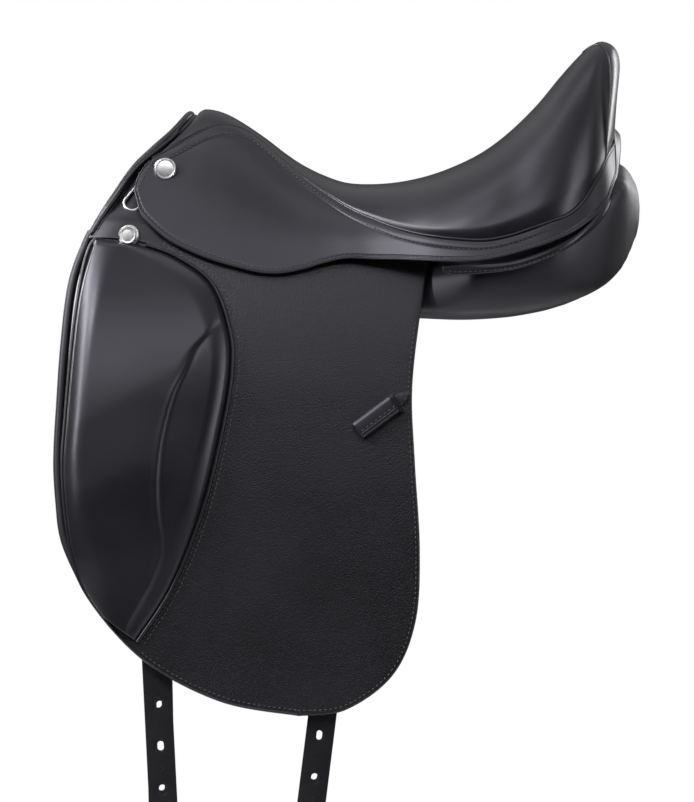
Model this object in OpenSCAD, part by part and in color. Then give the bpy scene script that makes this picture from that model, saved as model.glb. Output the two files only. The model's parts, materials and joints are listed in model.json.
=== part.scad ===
// Dressage saddle: deep seat, long straight flaps with knee blocks, long girth straps.
// X runs to the rear, Y to the off side and Z up. The origin lies on the mid-plane
// at the level where the panel bears on the back.

/* [Seat] */
// Seat length, from the skirt stud to the middle of the cantle
seat_length = 445; // [425:1:465]
// Height of the pommel over the bearing level
pommel_height = 198; // [192:1:204]
// Height of the lowest part of the seat
seat_height = 127; // [123:1:132]
// Height of the cantle
cantle_height = 264; // [256:1:272]
// Width over the skirts at the head
head_width = 224; // [218:1:232]
// Width over the seat at its widest
seat_width = 294; // [284:1:302]
// Thickness of the seat leather
cover_leather = 2.6; // [2:0.1:3]
// Thickness of the seat foam
foam_thickness = 11.4; // [10:0.1:12]
// Thickness of the webbing and of the straps it carries
web_thickness = 2; // [1.6:0.1:2.2]
// Thickness of the tree shell
tree_thickness = 6; // [5:0.1:7]
// Thickness of the steel head plate
plate_thickness = 3; // [2.5:0.1:3.5]
// Radius of the welt sewn into the seat seam
welt_radius = 1.6; // [1.3:0.1:1.8]

/* [Skirts and head] */
// Thickness of the skirt leather
skirt_leather = 4.4; // [3.5:0.1:5]
// Thickness of the head cover leather
head_leather = 2.4; // [2:0.1:3]
// Length of the front facing along the saddle
facing_length = 9.5; // [8:0.5:10]
// Height of the rear facing at the back
rear_facing_height = 27; // [22:1:30]
// Thickness of the rear facing
rear_facing_leather = 3; // [2.5:0.1:4]

/* [Flaps] */
// Drop of the flap below the bearing level
flap_drop = 365; // [345:1:385]
// Thickness of the flap leather
flap_leather = 5; // [4:0.1:5.5]
// Thickness of the sweat flap leather
sweat_leather = 4; // [3:0.1:4.5]
// Space between flap and sweat flap for the girth straps
strap_space = 8.4; // [7.5:0.1:9]
// Radius of the rolled front edge of the sweat flap
roll_radius = 4.5; // [3.5:0.1:5]
// Height of the knee block over the flap
block_height = 36; // [28:1:42]
// Rounding of the knee block's front edge
block_front_round = 17; // [12:1:20]
// Rounding of the knee block's rear edge
block_rear_round = 13; // [8:1:16]
// Radius of the welt round the knee block
block_welt_radius = 2.2; // [1.6:0.1:2.6]

/* [Panel] */
// Thickness of the panel leather
panel_leather = 2.2; // [1.8:0.1:2.6]
// Half width of the channel along the spine
channel_half = 33; // [30:0.5:38]

/* [Girth straps] */
// Width of a girth strap
strap_width = 26; // [23:0.5:28]
// Thickness of a girth strap
strap_leather = 3.5; // [3:0.1:4]
// Length of a girth strap below its web
strap_length = 500; // [490:1:520]
// Number of holes in a girth strap
hole_count = 5; // [3:1:5]
// Distance between the holes
hole_pitch = 40; // [34:1:41]
// Width of a hole
hole_width = 6.4; // [5.5:0.1:7]
// Length of a hole
hole_length = 9.6; // [8:0.1:11]
// Distance from the top of the front strap to its first hole
front_first_hole = 297; // [290:1:302]
// Distance from the top of the rear strap to its first hole
rear_first_hole = 289; // [282:1:294]
// How much higher the holes of the off straps are punched
off_hole_lift = 17; // [0:1:18]

/* [Metal fittings] */
// Radius of the skirt stud
skirt_stud_radius = 10.6; // [9:0.1:12]
// Radius of the point stud
point_stud_radius = 9.2; // [8:0.1:10]
// Radius of the wire of the dee
dee_wire = 1.6; // [1.3:0.1:1.8]
// Width of the dee inside
dee_width = 12.5; // [11:0.5:14]
// Length of the dee inside
dee_length = 21; // [19:0.5:23]
// Length of the stirrup bar plate
bar_plate_length = 66; // [60:1:70]
// Height of the stirrup bar plate
bar_plate_height = 20; // [18:0.5:22]
// Thickness of the stirrup bar plate
bar_plate_thickness = 3.5; // [3:0.1:4]
// Space behind the stirrup bar for the leather
bar_gap = 7; // [6.5:0.1:7.4]
// Thickness of the stirrup bar
bar_thickness = 6; // [5.5:0.1:6.5]
// Height of the stirrup bar
bar_height = 11; // [9:0.5:12]
// Thickness of the safety catch
catch_thickness = 3; // [2.4:0.1:3.4]
// Length of the safety catch past its pin
catch_length = 16; // [13:0.5:18]
// Radius of the pin of the safety catch
pin_radius = 1.8; // [1.5:0.1:2]
// Radius of the stirrup bar rivets
rivet_radius = 3; // [2.5:0.1:3.5]

/* [Leather keeper] */
// Length of the stirrup leather keeper
keeper_length = 46; // [40:1:50]
// Width of the keeper
keeper_width = 16; // [14:0.5:18]
// Height of the keeper over the flap
keeper_height = 9.5; // [9:0.1:11]
// Leather thickness of the keeper
keeper_leather = 2; // [1.6:0.1:2.2]

/* [Clearances] */
// Gap between neighbouring layers
layer_gap = 0.4; // [0.3:0.05:0.5]
// Gap at a bending line
bend_gap = 0.5; // [0.4:0.05:0.7]
// Gap between the layers inside the seat
nest_gap = 1.4; // [1.3:0.1:1.6]
// Gap between the seat welt and the leather on each side
seam_gap = 1.9; // [1.6:0.1:2.2]
// Gap of a pin in its hole
pin_gap = 0.1; // [0.08:0.01:0.15]
// Gap between a moving fitting and its seat
fitting_gap = 0.4; // [0.35:0.05:0.6]

/* [Hidden] */
$fn = 48;

// Level where the arch of the seat meets the straight sides
base_z = 66;
// All lengths along the saddle follow the seat length
sx = seat_length / 445;
// All drops below the bearing level follow the flap
sz = flap_drop / 365;
foam_depth = cover_leather + nest_gap + 0.6;
web_depth = foam_depth + foam_thickness + nest_gap;
tree_depth = web_depth + web_thickness + nest_gap;
plate_depth = tree_depth + tree_thickness + nest_gap;
lining_depth = plate_depth + plate_thickness + nest_gap;
panel_depth = lining_depth + 2;
head_depth = skirt_leather + 2 * dee_wire + 1.6;
side_flare = 0.36;
low_flare = 0.1;
flare_height = 146;
flap_depth = skirt_leather * (1 + side_flare);
strap_depth = flap_depth + flap_leather + strap_space / 2;
sweat_depth = flap_depth + flap_leather + strap_space;

// Share of the rise from the lowest part of the seat to the pommel or the cantle
rise = [[-171, 0.975], [-152, 1], [-133, 0.92], [-104, 0.667], [-66, 0.277], [-28, 0.04], [0, 0],
    [38, 0.028], [76, 0.111], [114, 0.256], [152, 0.498], [190, 0.824], [209, 0.955], [224, 1]];
profile = [for (q = rise) [q[0],
    seat_height + ((q[0] < 0 ? pommel_height : cantle_height) - seat_height) * q[1]]];
// Share of the width gained from the head to the widest part
spread = [[-171, 0], [-60, 0], [0, 0.17], [30, 0.43], [60, 0.77], [100, 1], [140, 1], [164, 0.97],
    [188, 0.69], [209, 0.19], [219, -0.27]];
flare = [[-171, side_flare], [-40, side_flare], [0, 0.28], [60, 0.14], [110, 0.1], [224, 0.1]];
// Power of the arch: 2 is an ellipse, more is rounder
roundness = [[-171, 2.3], [-120, 2.2], [-60, 2], [60, 2.1], [150, 2.6], [224, 2.7]];
// Share of the arch height at which the seat seam runs
seam = [[-204, 0.63], [-160, 0.817], [-122, 0.935], [-98, 0.924], [-51, 0.778], [-4, 0.444],
    [26, 0.234], [56, 0.105], [100, 0.036], [133, 0.078], [164, 0.14], [188, 0.183], [209, 0.3125],
    [219, 0.412]];
// Front edge of the saddle, rising
front_edge = [[-261, -259], [-243, -269], [-206, -285], [-170, -290], [-133, -292], [-78, -288],
    [-23, -283], [33, -277], [70, -266], [89, -257], [113, -242], [140, -224], [158, -206],
    [175, -188], [197, -171]];
// Lower edge of the skirt behind its lobe
skirt_edge = [[-40, 57], [-8, 53], [20, 52.5], [50, 51], [82, 50], [108, 52], [134, 58]];
// Lower edge of the skirt lobe
lobe_edge = [[-219, 115.5], [-213, 96], [-200, 81], [-183, 68], [-157, 56], [-142, 50.5],
    [-120, 44.5], [-97, 40], [-74, 41], [-50, 47.5], [-27, 53.5]];
// Height of the seam and of the lower skirt edge round the rear
tail = [[0, 169, 152], [0.2, 166, 148], [0.41, 159, 138], [0.593, 147.4, 121], [0.732, 126, 101],
    [0.891, 97.5, 82], [0.973, 86, 68.5], [1, 75.5, 58]];
// Middle height of the rear facing round the rear
facing_line = [[0, 166], [0.2, 158], [0.41, 138], [0.593, 110], [0.732, 92], [0.891, 72],
    [0.973, 58], [1, 46]];
// Front and rear outline of the flap, downwards
flap_front = [[-258, 79.8], [-273, 14], [-283, -96], [-285, -150], [-277, -215], [-259, -261],
    [-208, -316], [-138, -352], [-70, -365]];
flap_rear = [[47, -5], [38, -70], [40, -135], [44, -215], [40, -280], [18, -328], [-25, -359],
    [-62, -365]];
// Rear outline of the knee block, downwards
block_rear = [[-200, 61], [-181, 54], [-146, 30], [-129, -13], [-125, -55], [-131, -114],
    [-152, -188], [-184, -252], [-214, -296]];
// Lower outline of the sweat flap, front and rear, downwards
sweat_front = [[-259, -238], [-246, -262], [-205, -300], [-130, -335], [-84, -342]];
sweat_rear = [[28, -230], [26, -262], [5, -315], [-30, -338], [-76, -342]];
// Ends of the bending lines, front and rear
flap_line = [[-255, 79], [47, -5]];
lobe_line = [[-217, 117], [-24, 55]];
// Top point of the girth straps and their lean
front_strap_at = [-211, -60];
rear_strap_at = [-6, -60];
near_front_lean = 3.1;
off_front_lean = 0.9;
rear_lean = -7.1;
// Stirrup bar, keeper, studs and dee on the side
bar_at = [-112, 80];
bar_tilt = 23;
keeper_at = [8, -92];
keeper_turn = 37;
skirt_stud_at = [-193, 136.5];
point_stud_at = [-223, 76];
dee_at = [-213, 114.5];
dee_turn = 36;
dee_tilt = 27;

function clamp(v, a, b) = min(max(v, a), b);
function mix(a, b, t) = a + (b - a) * t;
function ease(t) = let (c = clamp(t, 0, 1)) c * c * (3 - 2 * c);
function place(p, x, i = 0) = (i >= len(p) - 2 || x < p[i + 1][0]) ? i : place(p, x, i + 1);
function grade(p, i, k) = let (a = max(i - 1, 0), b = min(i + 1, len(p) - 1))
    (p[b][k] - p[a][k]) / (p[b][0] - p[a][0]);
// Smooth curve through rows of [x, value, value], read at x
function read(p, x, k = 1) = let (i = place(p, x), h = p[i + 1][0] - p[i][0],
    t = (x - p[i][0]) / h, c = clamp(t, 0, 1))
    p[i][k] * (1 - c) * (1 - c) * (1 + 2 * c) + p[i + 1][k] * c * c * (3 - 2 * c)
    + grade(p, i, k) * h * c * (1 - c) * (1 - c) - grade(p, i + 1, k) * h * c * c * (1 - c);
// Smooth curve through points, read at a share of its length in steps
function along(p, s) = let (n = len(p) - 1, i = min(floor(s * n), n - 1), t = s * n - i,
    a = p[max(i - 1, 0)], b = p[i], c = p[i + 1], d = p[min(i + 2, n)])
    0.5 * (2 * b + (c - a) * t + (2 * a - 5 * b + 4 * c - d) * t * t
    + (3 * b - a - 3 * c + d) * t * t * t);
function straight(l, x) = mix(l[0][1], l[1][1], (x - l[0][0]) / (l[1][0] - l[0][0]));

function top_z(x) = read(profile, clamp(x / sx, -171, 224));
function half_at(x) = head_width / 2
    + (seat_width - head_width) / 2 * read(spread, clamp(x / sx, -171, 219));
function flare_at(x) = read(flare, clamp(x / sx, -171, 224));
function power_at(x) = read(roundness, clamp(x / sx, -171, 224));
function seam_at(x) = acos(pow(read(seam, clamp(x / sx, -204, 219)), power_at(x) / 2));
// Angle that a length along the arch takes up at the seam
function turn_at(x, l) = l / norm(arch(x, seam_at(x), 0) - arch(x, seam_at(x) - 1, 0));
// Point of the arched upper body at an angle down from the top, at a depth
function arch(x, a, d) = let (h = top_z(x) - base_z - d, s = flare_at(x), e = 2 / power_at(x),
    w = half_at(x) - s * (top_z(x) - base_z) - d, c = pow(max(0, cos(a)), e))
    [x, w * pow(max(0, sin(a)), e) + s * h * (1 - c), base_z + h * c];
// Half width of the upper body at a height and a depth
function skin(x, z, d) = let (h = top_z(x) - base_z - d, s = flare_at(x),
    w = half_at(x) - s * (top_z(x) - base_z) - d, t = max(0, z - base_z) / h, e = power_at(x))
    z >= base_z ? w * pow(max(0, 1 - pow(t, e)), 1 / e) + s * h * (1 - t)
    : w + s * h + s * (base_z - z);
// Point at a depth under a place on the skin
function under(x, z, d) = let (t = (z - base_z) / (top_z(x) - base_z))
    t > 0 ? arch(x, acos(pow(min(t, 1), power_at(x) / 2)), d) : [x, skin(x, z, d), z];
// Half width of the side on which the flaps lie
function side(z) = let (g = base_z - z, k = min(g, flare_height)) g <= 0 ? skin(-171 * sx, z, 0)
    : head_width / 2 + side_flare * k - (side_flare - low_flare) / (2 * flare_height) * k * k
    + low_flare * (g - k);
function drop(z) = z < 0 ? z * sz : z;
// Plan of the rim round the rear, read by its half width as a share
function rim_x(q, o) = sx * 130 + (101 * sx + o) * pow(max(0, 1 - pow(q, 2.5)), 0.4);
function rim_y(q, o) = q * ((seat_width / 2 - 1) + o);
function near(p) = [p[0], -p[1], p[2]];

// Solid between two grids of points
module sheet(a, b) {
    m = len(a);
    n = len(a[0]);
    k = m * n;
    points = concat([for (r = a) each r], [for (r = b) each r]);
    upper = [for (r = [0 : m - 2]) for (c = [0 : n - 2]) each [
        [r * n + c, r * n + c + 1, r * n + n + c + 1],
        [r * n + c, r * n + n + c + 1, r * n + n + c]]];
    lower = [for (f = upper) [f[2] + k, f[1] + k, f[0] + k]];
    ends = [for (c = [0 : n - 2]) each [
        [c + 1, c, k + c],
        [c + 1, k + c, k + c + 1],
        [k - n + c, k - n + c + 1, 2 * k - n + c + 1],
        [k - n + c, 2 * k - n + c + 1, 2 * k - n + c]]];
    edges = [for (r = [0 : m - 2]) each [
        [r * n, r * n + n, k + r * n + n],
        [r * n, k + r * n + n, k + r * n],
        [r * n + 2 * n - 1, r * n + n - 1, k + r * n + n - 1],
        [r * n + 2 * n - 1, k + r * n + n - 1, k + r * n + 2 * n - 1]]];
    polyhedron(points, concat(upper, lower, ends, edges));
}

// Solid through rings of points
module rings(p) {
    m = len(p);
    n = len(p[0]);
    walls = [for (r = [0 : m - 2]) for (c = [0 : n - 1]) let (e = (c + 1) % n) each [
        [r * n + c, r * n + e, r * n + n + e],
        [r * n + c, r * n + n + e, r * n + n + c]]];
    caps = [[for (c = [n - 1 : -1 : 0]) c], [for (c = [0 : n - 1]) m * n - n + c]];
    polyhedron([for (r = p) each r], concat(walls, caps));
}

// Round cord along a path
module cord(path, r, up, n = 6) {
    m = len(path) - 1;
    rings([for (i = [0 : m]) let (t = path[min(i + 1, m)] - path[max(i - 1, 0)],
        u = cross(t, up) / norm(cross(t, up)), v = cross(u, t) / norm(t))
        [for (c = [0 : n - 1]) path[i] + r * (cos(360 * c / n) * u + sin(360 * c / n) * v)]]);
}

module off_side() {
    mirror([0, 1, 0]) children();
}

// Flat strip with round ends, exact
module slot(length, width) {
    translate([-length / 2 + width / 2, 0]) circle(width / 2);
    translate([length / 2 - width / 2, 0]) circle(width / 2);
    square([length - width, width], center = true);
}

// Seat: rows run from near seam to off seam, first along the arch, then round the cantle
seat_rows = [[-162, -204], [-157, -192], [-151, -178], [-144, -163], [-135, -148], [-123, -132],
    [-110, -115], [-96, -98], [-79, -80], [-62, -62], [-42, -42], [-22, -22], [2, 2], [28, 28],
    [56, 56], [84, 84], [108, 108], [132, 132], [158, 158], [180, 180], [200, 200], [212, 212],
    [219, 219]];
cap_rows = [[0.04, 231], [0.25, 232.5], [0.5, 235], [0.75, 237], [0.9, 234], [0.97, 228]];
back_z = 176;
seam_half = welt_radius + seam_gap;
function seat_end(x, g) = seam_at(x) - turn_at(x, g + 2 * ease((-130 * sx - x) / 40));
function seat_point(r, v, d, g) = let (q = abs(v), a = seat_end(sx * r[1], g) * q,
    x = sx * mix(r[0], r[1], pow(a / seam_at(sx * r[1]), 2.35)), p = arch(x, a, d))
    [p[0], sign(v) * p[1], p[2]];
function cap_point(r, v, d, g) = let (q = abs(v), x = 219 * sx, a = seat_end(x, g),
    p = arch(x, a * q, d), t = arch(x, 0, d)[2], b = arch(x, a, d)[2],
    low = read(tail, r[0] * 0.593, 1) + g, high = mix(back_z + g - seam_half, t, r[0]),
    e = rim_x(r[0] * 0.593, 0), k = pow(q, 1.5),
    inset = d * ease((1 - r[0]) / 0.25) * mix(1, 1 - r[0], k))
    [mix(sx * r[1], e, k) - inset, sign(v) * r[0] * p[1], mix(low, high, (p[2] - b) / (t - b))];
function seat_grid(d, g, n) = concat(
    [for (r = seat_rows) [for (c = [-n : n]) seat_point(r, c / n, d, g)]],
    [for (i = [len(cap_rows) - 1 : -1 : 0])
    [for (c = [-n : n]) cap_point(cap_rows[i], c / n, d, g)]]);
// Band of the arch between two angles
function band_grid(rows, a0, a1, d, n) = [for (x = rows)
    [for (c = [0 : n]) let (a = mix(a0, a1, c / n), p = arch(sx * x, abs(a), d))
    [p[0], sign(a) * p[1], p[2]]]];

module seat_cover() {
    color([0.12, 0.12, 0.13])
        sheet(seat_grid(0, seam_half, 9), seat_grid(cover_leather, seam_half, 9));
}

module seat_foam() {
    color([0.8, 0.78, 0.6]) sheet(seat_grid(foam_depth, seam_half + 8, 9),
        seat_grid(foam_depth + foam_thickness, seam_half + 8, 9));
}

module seat_webbing() {
    rows = [-119, -101, -80, -58, -34, -8, 20, 50, 80, 108, 134, 158, 180, 196];
    color([0.75, 0.7, 0.6]) {
        sheet(band_grid(rows, 14, 44, web_depth, 3),
            band_grid(rows, 14, 44, web_depth + web_thickness, 3));
        sheet(band_grid(rows, -44, -14, web_depth, 3),
            band_grid(rows, -44, -14, web_depth + web_thickness, 3));
    }
}

module tree_shell() {
    rows = [-150, -132, -119, -101, -80, -58, -34, -8, 20, 50, 80, 108, 134, 158, 180, 200];
    color([0.2, 0.2, 0.22]) difference() {
        sheet(band_grid(rows, -78, 78, tree_depth, 16),
            band_grid(rows, -78, 78, tree_depth + tree_thickness, 16));
        translate([20 * sx, 0, 60]) linear_extrude(120) slot(150 * sx, 36);
    }
}

// Steel plate under the head of the tree, running down into the points
function head_point(q, x, d) = let (a = abs(q), e = sx * (x - 30 * max(0, a - 0.4)))
    a <= 1 ? let (p = arch(e, 90 * a, d)) [e, sign(q) * p[1], p[2]]
    : let (z = base_z - (a - 1) * 100) [e, sign(q) * skin(e, z, d), z];
module head_plate() {
    steps = [for (i = [-12 : 12]) i / 12 * 1.55];
    rows = [-150, -132, -114];
    low = plate_depth + plate_thickness;
    color([0.5, 0.5, 0.52])
        sheet([for (x = rows) [for (q = steps) head_point(q, x, plate_depth)]],
            [for (x = rows) [for (q = steps) head_point(q, x, low)]]);
}

module seat_welt() {
    half = concat([for (r = skirt_rows) arch(sx * r[0], seam_at(sx * r[0]), 0.4)],
        [for (i = [6 : -1 : 1]) let (q = tail[i][0])
        [rim_x(q, 0.4), rim_y(q, 0.4), tail[i][1]]]);
    back = [rim_x(0, 0.4), 0, tail[0][1]];
    last = len(half) - 1;
    path = concat([for (p = half) near(p)], [back], [for (i = [last : -1 : 0]) half[i]]);
    color([0.05, 0.05, 0.06]) cord(path, welt_radius, [0, 0, 1]);
}

// Skirt: rows run from the seam to the lower edge, or to the bending line of the lobe
skirt_rows = [[-204, -219], [-192, -206], [-178, -188], [-163, -168], [-148, -147], [-132, -126],
    [-115, -105], [-98, -85], [-80, -66], [-62, -48], [-42, -34], [-22, -22], [2, 2], [28, 28],
    [56, 56], [84, 84], [108, 108], [132, 132]];
function skirt_low(x) = x <= -23 ? straight(lobe_line, x) + bend_gap : read(skirt_edge, x);
function skirt_point(r, v, d) = let (e = sx * r[0], p = arch(e, seam_at(e) + turn_at(e, seam_half), 0),
    bow = -16 * v * (1 - v) * ease((-176 - r[0]) / 20), x = mix(p[0], sx * r[1], v) + bow,
    z = mix(p[2], skirt_low(r[1]), v)) under(x, z, d);
function tail_point(t, v, d) = [rim_x(t[0], 0.5 + 2 * v - d), rim_y(t[0], 0.5 + 2 * v - d),
    mix(t[1] - seam_half, t[2], v)];
function skirt_grid(d) = concat(
    [for (r = skirt_rows) [for (v = [0 : 0.25 : 1]) skirt_point(r, v, d)]],
    [for (i = [6 : -1 : 1]) [for (v = [0 : 0.25 : 1]) tail_point(tail[i], v, d)]],
    [[for (v = [0 : 0.25 : 1]) let (p = tail_point(tail[0], v, d))
    [p[0], layer_gap, p[2]]]]);
module near_skirt() {
    color([0.1, 0.1, 0.11]) off_side() sheet(skirt_grid(-1), skirt_grid(skirt_leather - 1));
}

module off_skirt() {
    off_side() near_skirt();
}

lobe_rows = [-217, -211, -203, -192, -178, -162, -145, -126, -106, -86, -66, -46, -28];
function lobe_grid(d) = [for (x = lobe_rows)
    [for (v = [0 : 0.25 : 1]) let (z = mix(straight(lobe_line, x), read(lobe_edge, x), v))
    under(sx * x, z, d)]];
module near_skirt_lobe() {
    color([0.1, 0.1, 0.11]) off_side() sheet(lobe_grid(-1), lobe_grid(skirt_leather - 1));
}

module off_skirt_lobe() {
    off_side() near_skirt_lobe();
}

// Front facing: closes the front of the head, following its front edge
function front_x(z) = sx * read(front_edge, z);
function facing_grid(l) = [for (d = [-0.5, 9, 18, panel_depth])
    [for (i = [-10 : 10]) let (a = 83 * i / 10, p = arch(-171 * sx, abs(a), d),
        z = arch(-171 * sx, abs(a), 0)[2]) [front_x(z) + l, sign(a) * p[1], p[2]]]];
module front_facing() {
    color([0.1, 0.1, 0.11]) sheet(facing_grid(0), facing_grid(facing_length));
}

// Head cover: leather between the front facing and the skirt
function head_grid(d) = [for (v = [0 : 0.2 : 1]) let (f = mix(156, 82, v),
    b = mix(150, straight(flap_line, -180) + bend_gap, v))
    [for (u = [0 : 0.25 : 1]) let (z = mix(f, b, u),
        x = mix(front_x(f + head_depth) + facing_length + 1.2, -178 * sx, u)) under(x, z, d)]];
module near_head_cover() {
    color([0.1, 0.1, 0.11]) off_side()
        sheet(head_grid(head_depth), head_grid(head_depth + head_leather));
}

module off_head_cover() {
    off_side() near_head_cover();
}

// Panel: rows of corners [x, inner top, inner bottom, outer bottom, outer top], each [y, z]
panel_rows = [[-232, [50, 96], [42, 84], [68, 32], [78, 46]],
    [-196, [44, 114], [30, 94], [62, 14], [78, 36]], [-150, [42, 118], [28, 92], [64, 3], [79, 30]],
    [-90, [36, 108], [30, 68], [78, 0], [101.2, 26]], [-30, [33, 86], [33, 42], [88, 0], [100.6, 28]],
    [30, [33, 88], [33, 24], [94, 0], [97, 26]], [64, [33, 96], [33, 18], [111, 0], [116, 26]],
    [100, [33, 108], [33, 14], [124, 1], [140, 32]], [140, [33, 124], [33, 15], [122, 5], [141, 38]],
    [180, [33, 140], [33, 24], [112, 14], [130, 60]], [215, [33, 148], [33, 44], [90, 28], [100, 90]],
    [240, [33, 134], [33, 68], [64, 50], [72, 116]], [253, [33, 118], [33, 92], [44, 82], [48, 106]]];
function panel_path(r) = let (c = channel_half - 33, a = r[1] + [c, 0], f = r[2] + [c, 0],
    d = r[3], b = r[4])
    [a, mix(a, f, 0.5) + [-1, 0], f + [1, 1], mix(f, d, 0.5) + [0, -4], d,
    mix(d, b, 0.5) + [6, -4], b];
function panel_ring(r, t) = let (p = panel_path(r), n = 12, o = [for (i = [0 : n]) along(p, i / n)])
    [for (i = [0 : n]) let (e = o[min(i + 1, n)] - o[max(i - 1, 0)], m = norm(e),
        q = o[i] + t * [-e[1], e[0]] / m) [sx * r[0], q[0], q[1]]];
module near_panel() {
    color([0.13, 0.13, 0.14]) off_side()
        sheet([for (r = panel_rows) panel_ring(r, 0)],
            [for (r = panel_rows) panel_ring(r, panel_leather)]);
}

module off_panel() {
    off_side() near_panel();
}

module near_flocking() {
    color([0.9, 0.88, 0.82]) off_side() rings([for (i = [len(panel_rows) - 2 : -1 : 0])
        let (p = panel_ring(panel_rows[i], panel_leather + 3.4)) [for (c = [1 : 11]) p[c]]]);
}

module off_flocking() {
    off_side() near_flocking();
}

module channel_lining() {
    rows = [-150, -120, -86, -50, -10, 40, 90, 140, 180, 204];
    color([0.1, 0.1, 0.11]) sheet(band_grid(rows, -24, 24, lining_depth, 6),
        band_grid(rows, -24, 24, lining_depth + 1.4, 6));
}

// Rear facing: leather band round the back of the panel
function facing_ring(i, t) = let (e = abs(i), q = facing_line[e][0], s = i < 0 ? -1 : 1,
    h = mix(rear_facing_height, 9, ease(q)), o = mix(10, 5, ease(q)) - t)
    [for (v = [-0.5, 0, 0.5]) [rim_x(q, o), s * rim_y(q, o), facing_line[e][1] + v * h]];
module rear_facing() {
    tip = 70 * sx;
    y = rim_y(1, 0) - 1;
    end = [for (s = [-1, 1]) [for (t = [3.5, 3.5 - rear_facing_leather])
        [for (v = [-0.5, 0, 0.5]) [tip, s * (y + t), 39 + v * 8]]]];
    color([0.1, 0.1, 0.11]) sheet(
        concat([end[0][0]], [for (i = [-7 : 7]) facing_ring(i, 0)], [end[1][0]]),
        concat([end[0][1]], [for (i = [-7 : 7]) facing_ring(i, rear_facing_leather)], [end[1][1]]));
}

// Sweat flap: rows run from the front edge to the rear edge
function sweat_side(z, t) = side(z) - sweat_depth - t;
function sweat_row(v) = let (z = mix(72, -230, v), e = layer_gap + 1.5 * ease((z - 30) / 40))
    [[front_x(z) + roll_radius * 2 + e, drop(z)], [28 * sx, drop(mix(44, -230, v))]];
function sweat_tip(v) = let (a = along(sweat_front, v), b = along(sweat_rear, v))
    [[sx * a[0] + 2, drop(a[1])], [sx * b[0], drop(b[1])]];
function sweat_grid(t) = [for (r = concat([for (v = [0 : 0.125 : 0.96]) sweat_row(v)],
    [for (v = [0 : 0.125 : 1]) sweat_tip(v)]))
    [for (u = [0 : 0.2 : 1]) let (p = mix(r[0], r[1], u),
        z = p[1] - 11 * ease(u / 0.2) * ease((p[1] + 10) / 60)) [p[0], sweat_side(z, t), z]]];
module near_sweat_flap() {
    color([0.11, 0.11, 0.12]) off_side() sheet(sweat_grid(0), sweat_grid(sweat_leather));
}

module off_sweat_flap() {
    off_side() near_sweat_flap();
}

module near_edge_roll() {
    path = [for (v = [0 : 0.05 : 1]) let (z = mix(81, -246, v))
        [front_x(z) + roll_radius, sweat_side(drop(z), sweat_leather / 2), drop(z)]];
    color([0.1, 0.1, 0.11]) off_side() cord(path, roll_radius, [0, 1, 0], 8);
}

module off_edge_roll() {
    off_side() near_edge_roll();
}

// Flap: a fixed top and a moving flap that meet at the bending line
function flap_side(z, t) = side(z) - flap_depth - t;
function flap_top_grid(t) = [for (x = [-200, -170, -140, -105, -70, -35, 0, 26, 47])
    [for (v = [0 : 0.25 : 1])
        let (z = mix(mix(74, 60, (x + 200) / 253), straight(flap_line, x) + bend_gap, v),
        e = sx * x + (x > 40 ? 8 * (1 - v) : 0)) [e, flap_side(z, t), z]]];
module near_flap_top() {
    color([0.1, 0.1, 0.11]) off_side() sheet(flap_top_grid(0), flap_top_grid(flap_leather));
}

module off_flap_top() {
    off_side() near_flap_top();
}

function flap_row(v) = let (a = along(flap_front, v), b = along(flap_rear, v))
    [[sx * a[0], drop(a[1])], [sx * b[0], drop(b[1])]];
flap_steps = [0, 0.06, 0.125, 0.2, 0.28, 0.36, 0.44, 0.52, 0.6, 0.68, 0.76, 0.84, 0.91, 0.96, 1];
function flap_grid(t) = [for (v = flap_steps) let (r = flap_row(v))
    [for (u = [0 : 0.125 : 1]) let (p = mix(r[0], r[1], u)) [p[0], flap_side(p[1], t), p[1]]]];
module point_notch() {
    translate([sx * point_stud_at[0], 0, point_stud_at[1]]) rotate([90, 0, 0])
        cylinder(h = 240, r = point_stud_radius + 2.4);
}

module near_flap() {
    color([0.1, 0.1, 0.11]) difference() {
        off_side() sheet(flap_grid(0), flap_grid(flap_leather));
        point_notch();
    }
}

module off_flap() {
    off_side() near_flap();
}

// Knee block: a face with rounded edges, a little lower behind its crease
crease = [[0, 1.1], [0.12, 1], [0.2, 0.89], [0.28, 0.76], [0.42, 0.65], [0.55, 0.61], [0.66, 0.6],
    [0.74, 0.66], [0.81, 0.73], [0.88, 0.72], [0.95, 0.64], [1, 0.55]];
rear_share = 0.42; // height at the rear edge, against the front
function round_edge(s, r) = s >= r ? 1 : sqrt(max(0, 1 - pow(1 - s / r, 2)));
function block_rise(u, v) = let (c = read(crease, v), r = block_row(v), w = norm(r[1] - r[0]))
    block_height * mix(1, rear_share, u)
    * round_edge(u * w, block_front_round) * round_edge((1 - u) * w, block_rear_round)
    * (1 - 0.16 * ease((u - c + 0.05) / 0.1))
    * (0.2 + 0.8 * ease(v / 0.22)) * (1 - 0.65 * ease((v - 0.62) / 0.38));
function block_row(v) = let (f = along(flap_front, v * 0.655), b = along(block_rear, v))
    [[sx * f[0] + 7, drop(f[1]) - 1.2], [sx * b[0], drop(b[1]) - 1.2]];
block_down = [0, 0.05, 0.12, 0.2, 0.28, 0.37, 0.46, 0.55, 0.64, 0.73, 0.82, 0.9, 0.96, 1];
block_over = [0, 0.02, 0.06, 0.11, 0.18, 0.35, 0.5, 0.6, 0.7, 0.8, 0.88, 0.94, 0.98, 1];
function block_grid(k) = [for (v = block_down) let (r = block_row(v))
    [for (u = block_over) let (p = mix(r[0], r[1], u), t = nest_gap + k * (1.5 + block_rise(u, v)))
    [p[0], flap_side(p[1], -t), p[1]]]];
module near_knee_block() {
    color([0.12, 0.12, 0.13]) difference() {
        off_side() sheet(block_grid(1), block_grid(0));
        point_notch();
    }
}

module off_knee_block() {
    off_side() near_knee_block();
}

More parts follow.
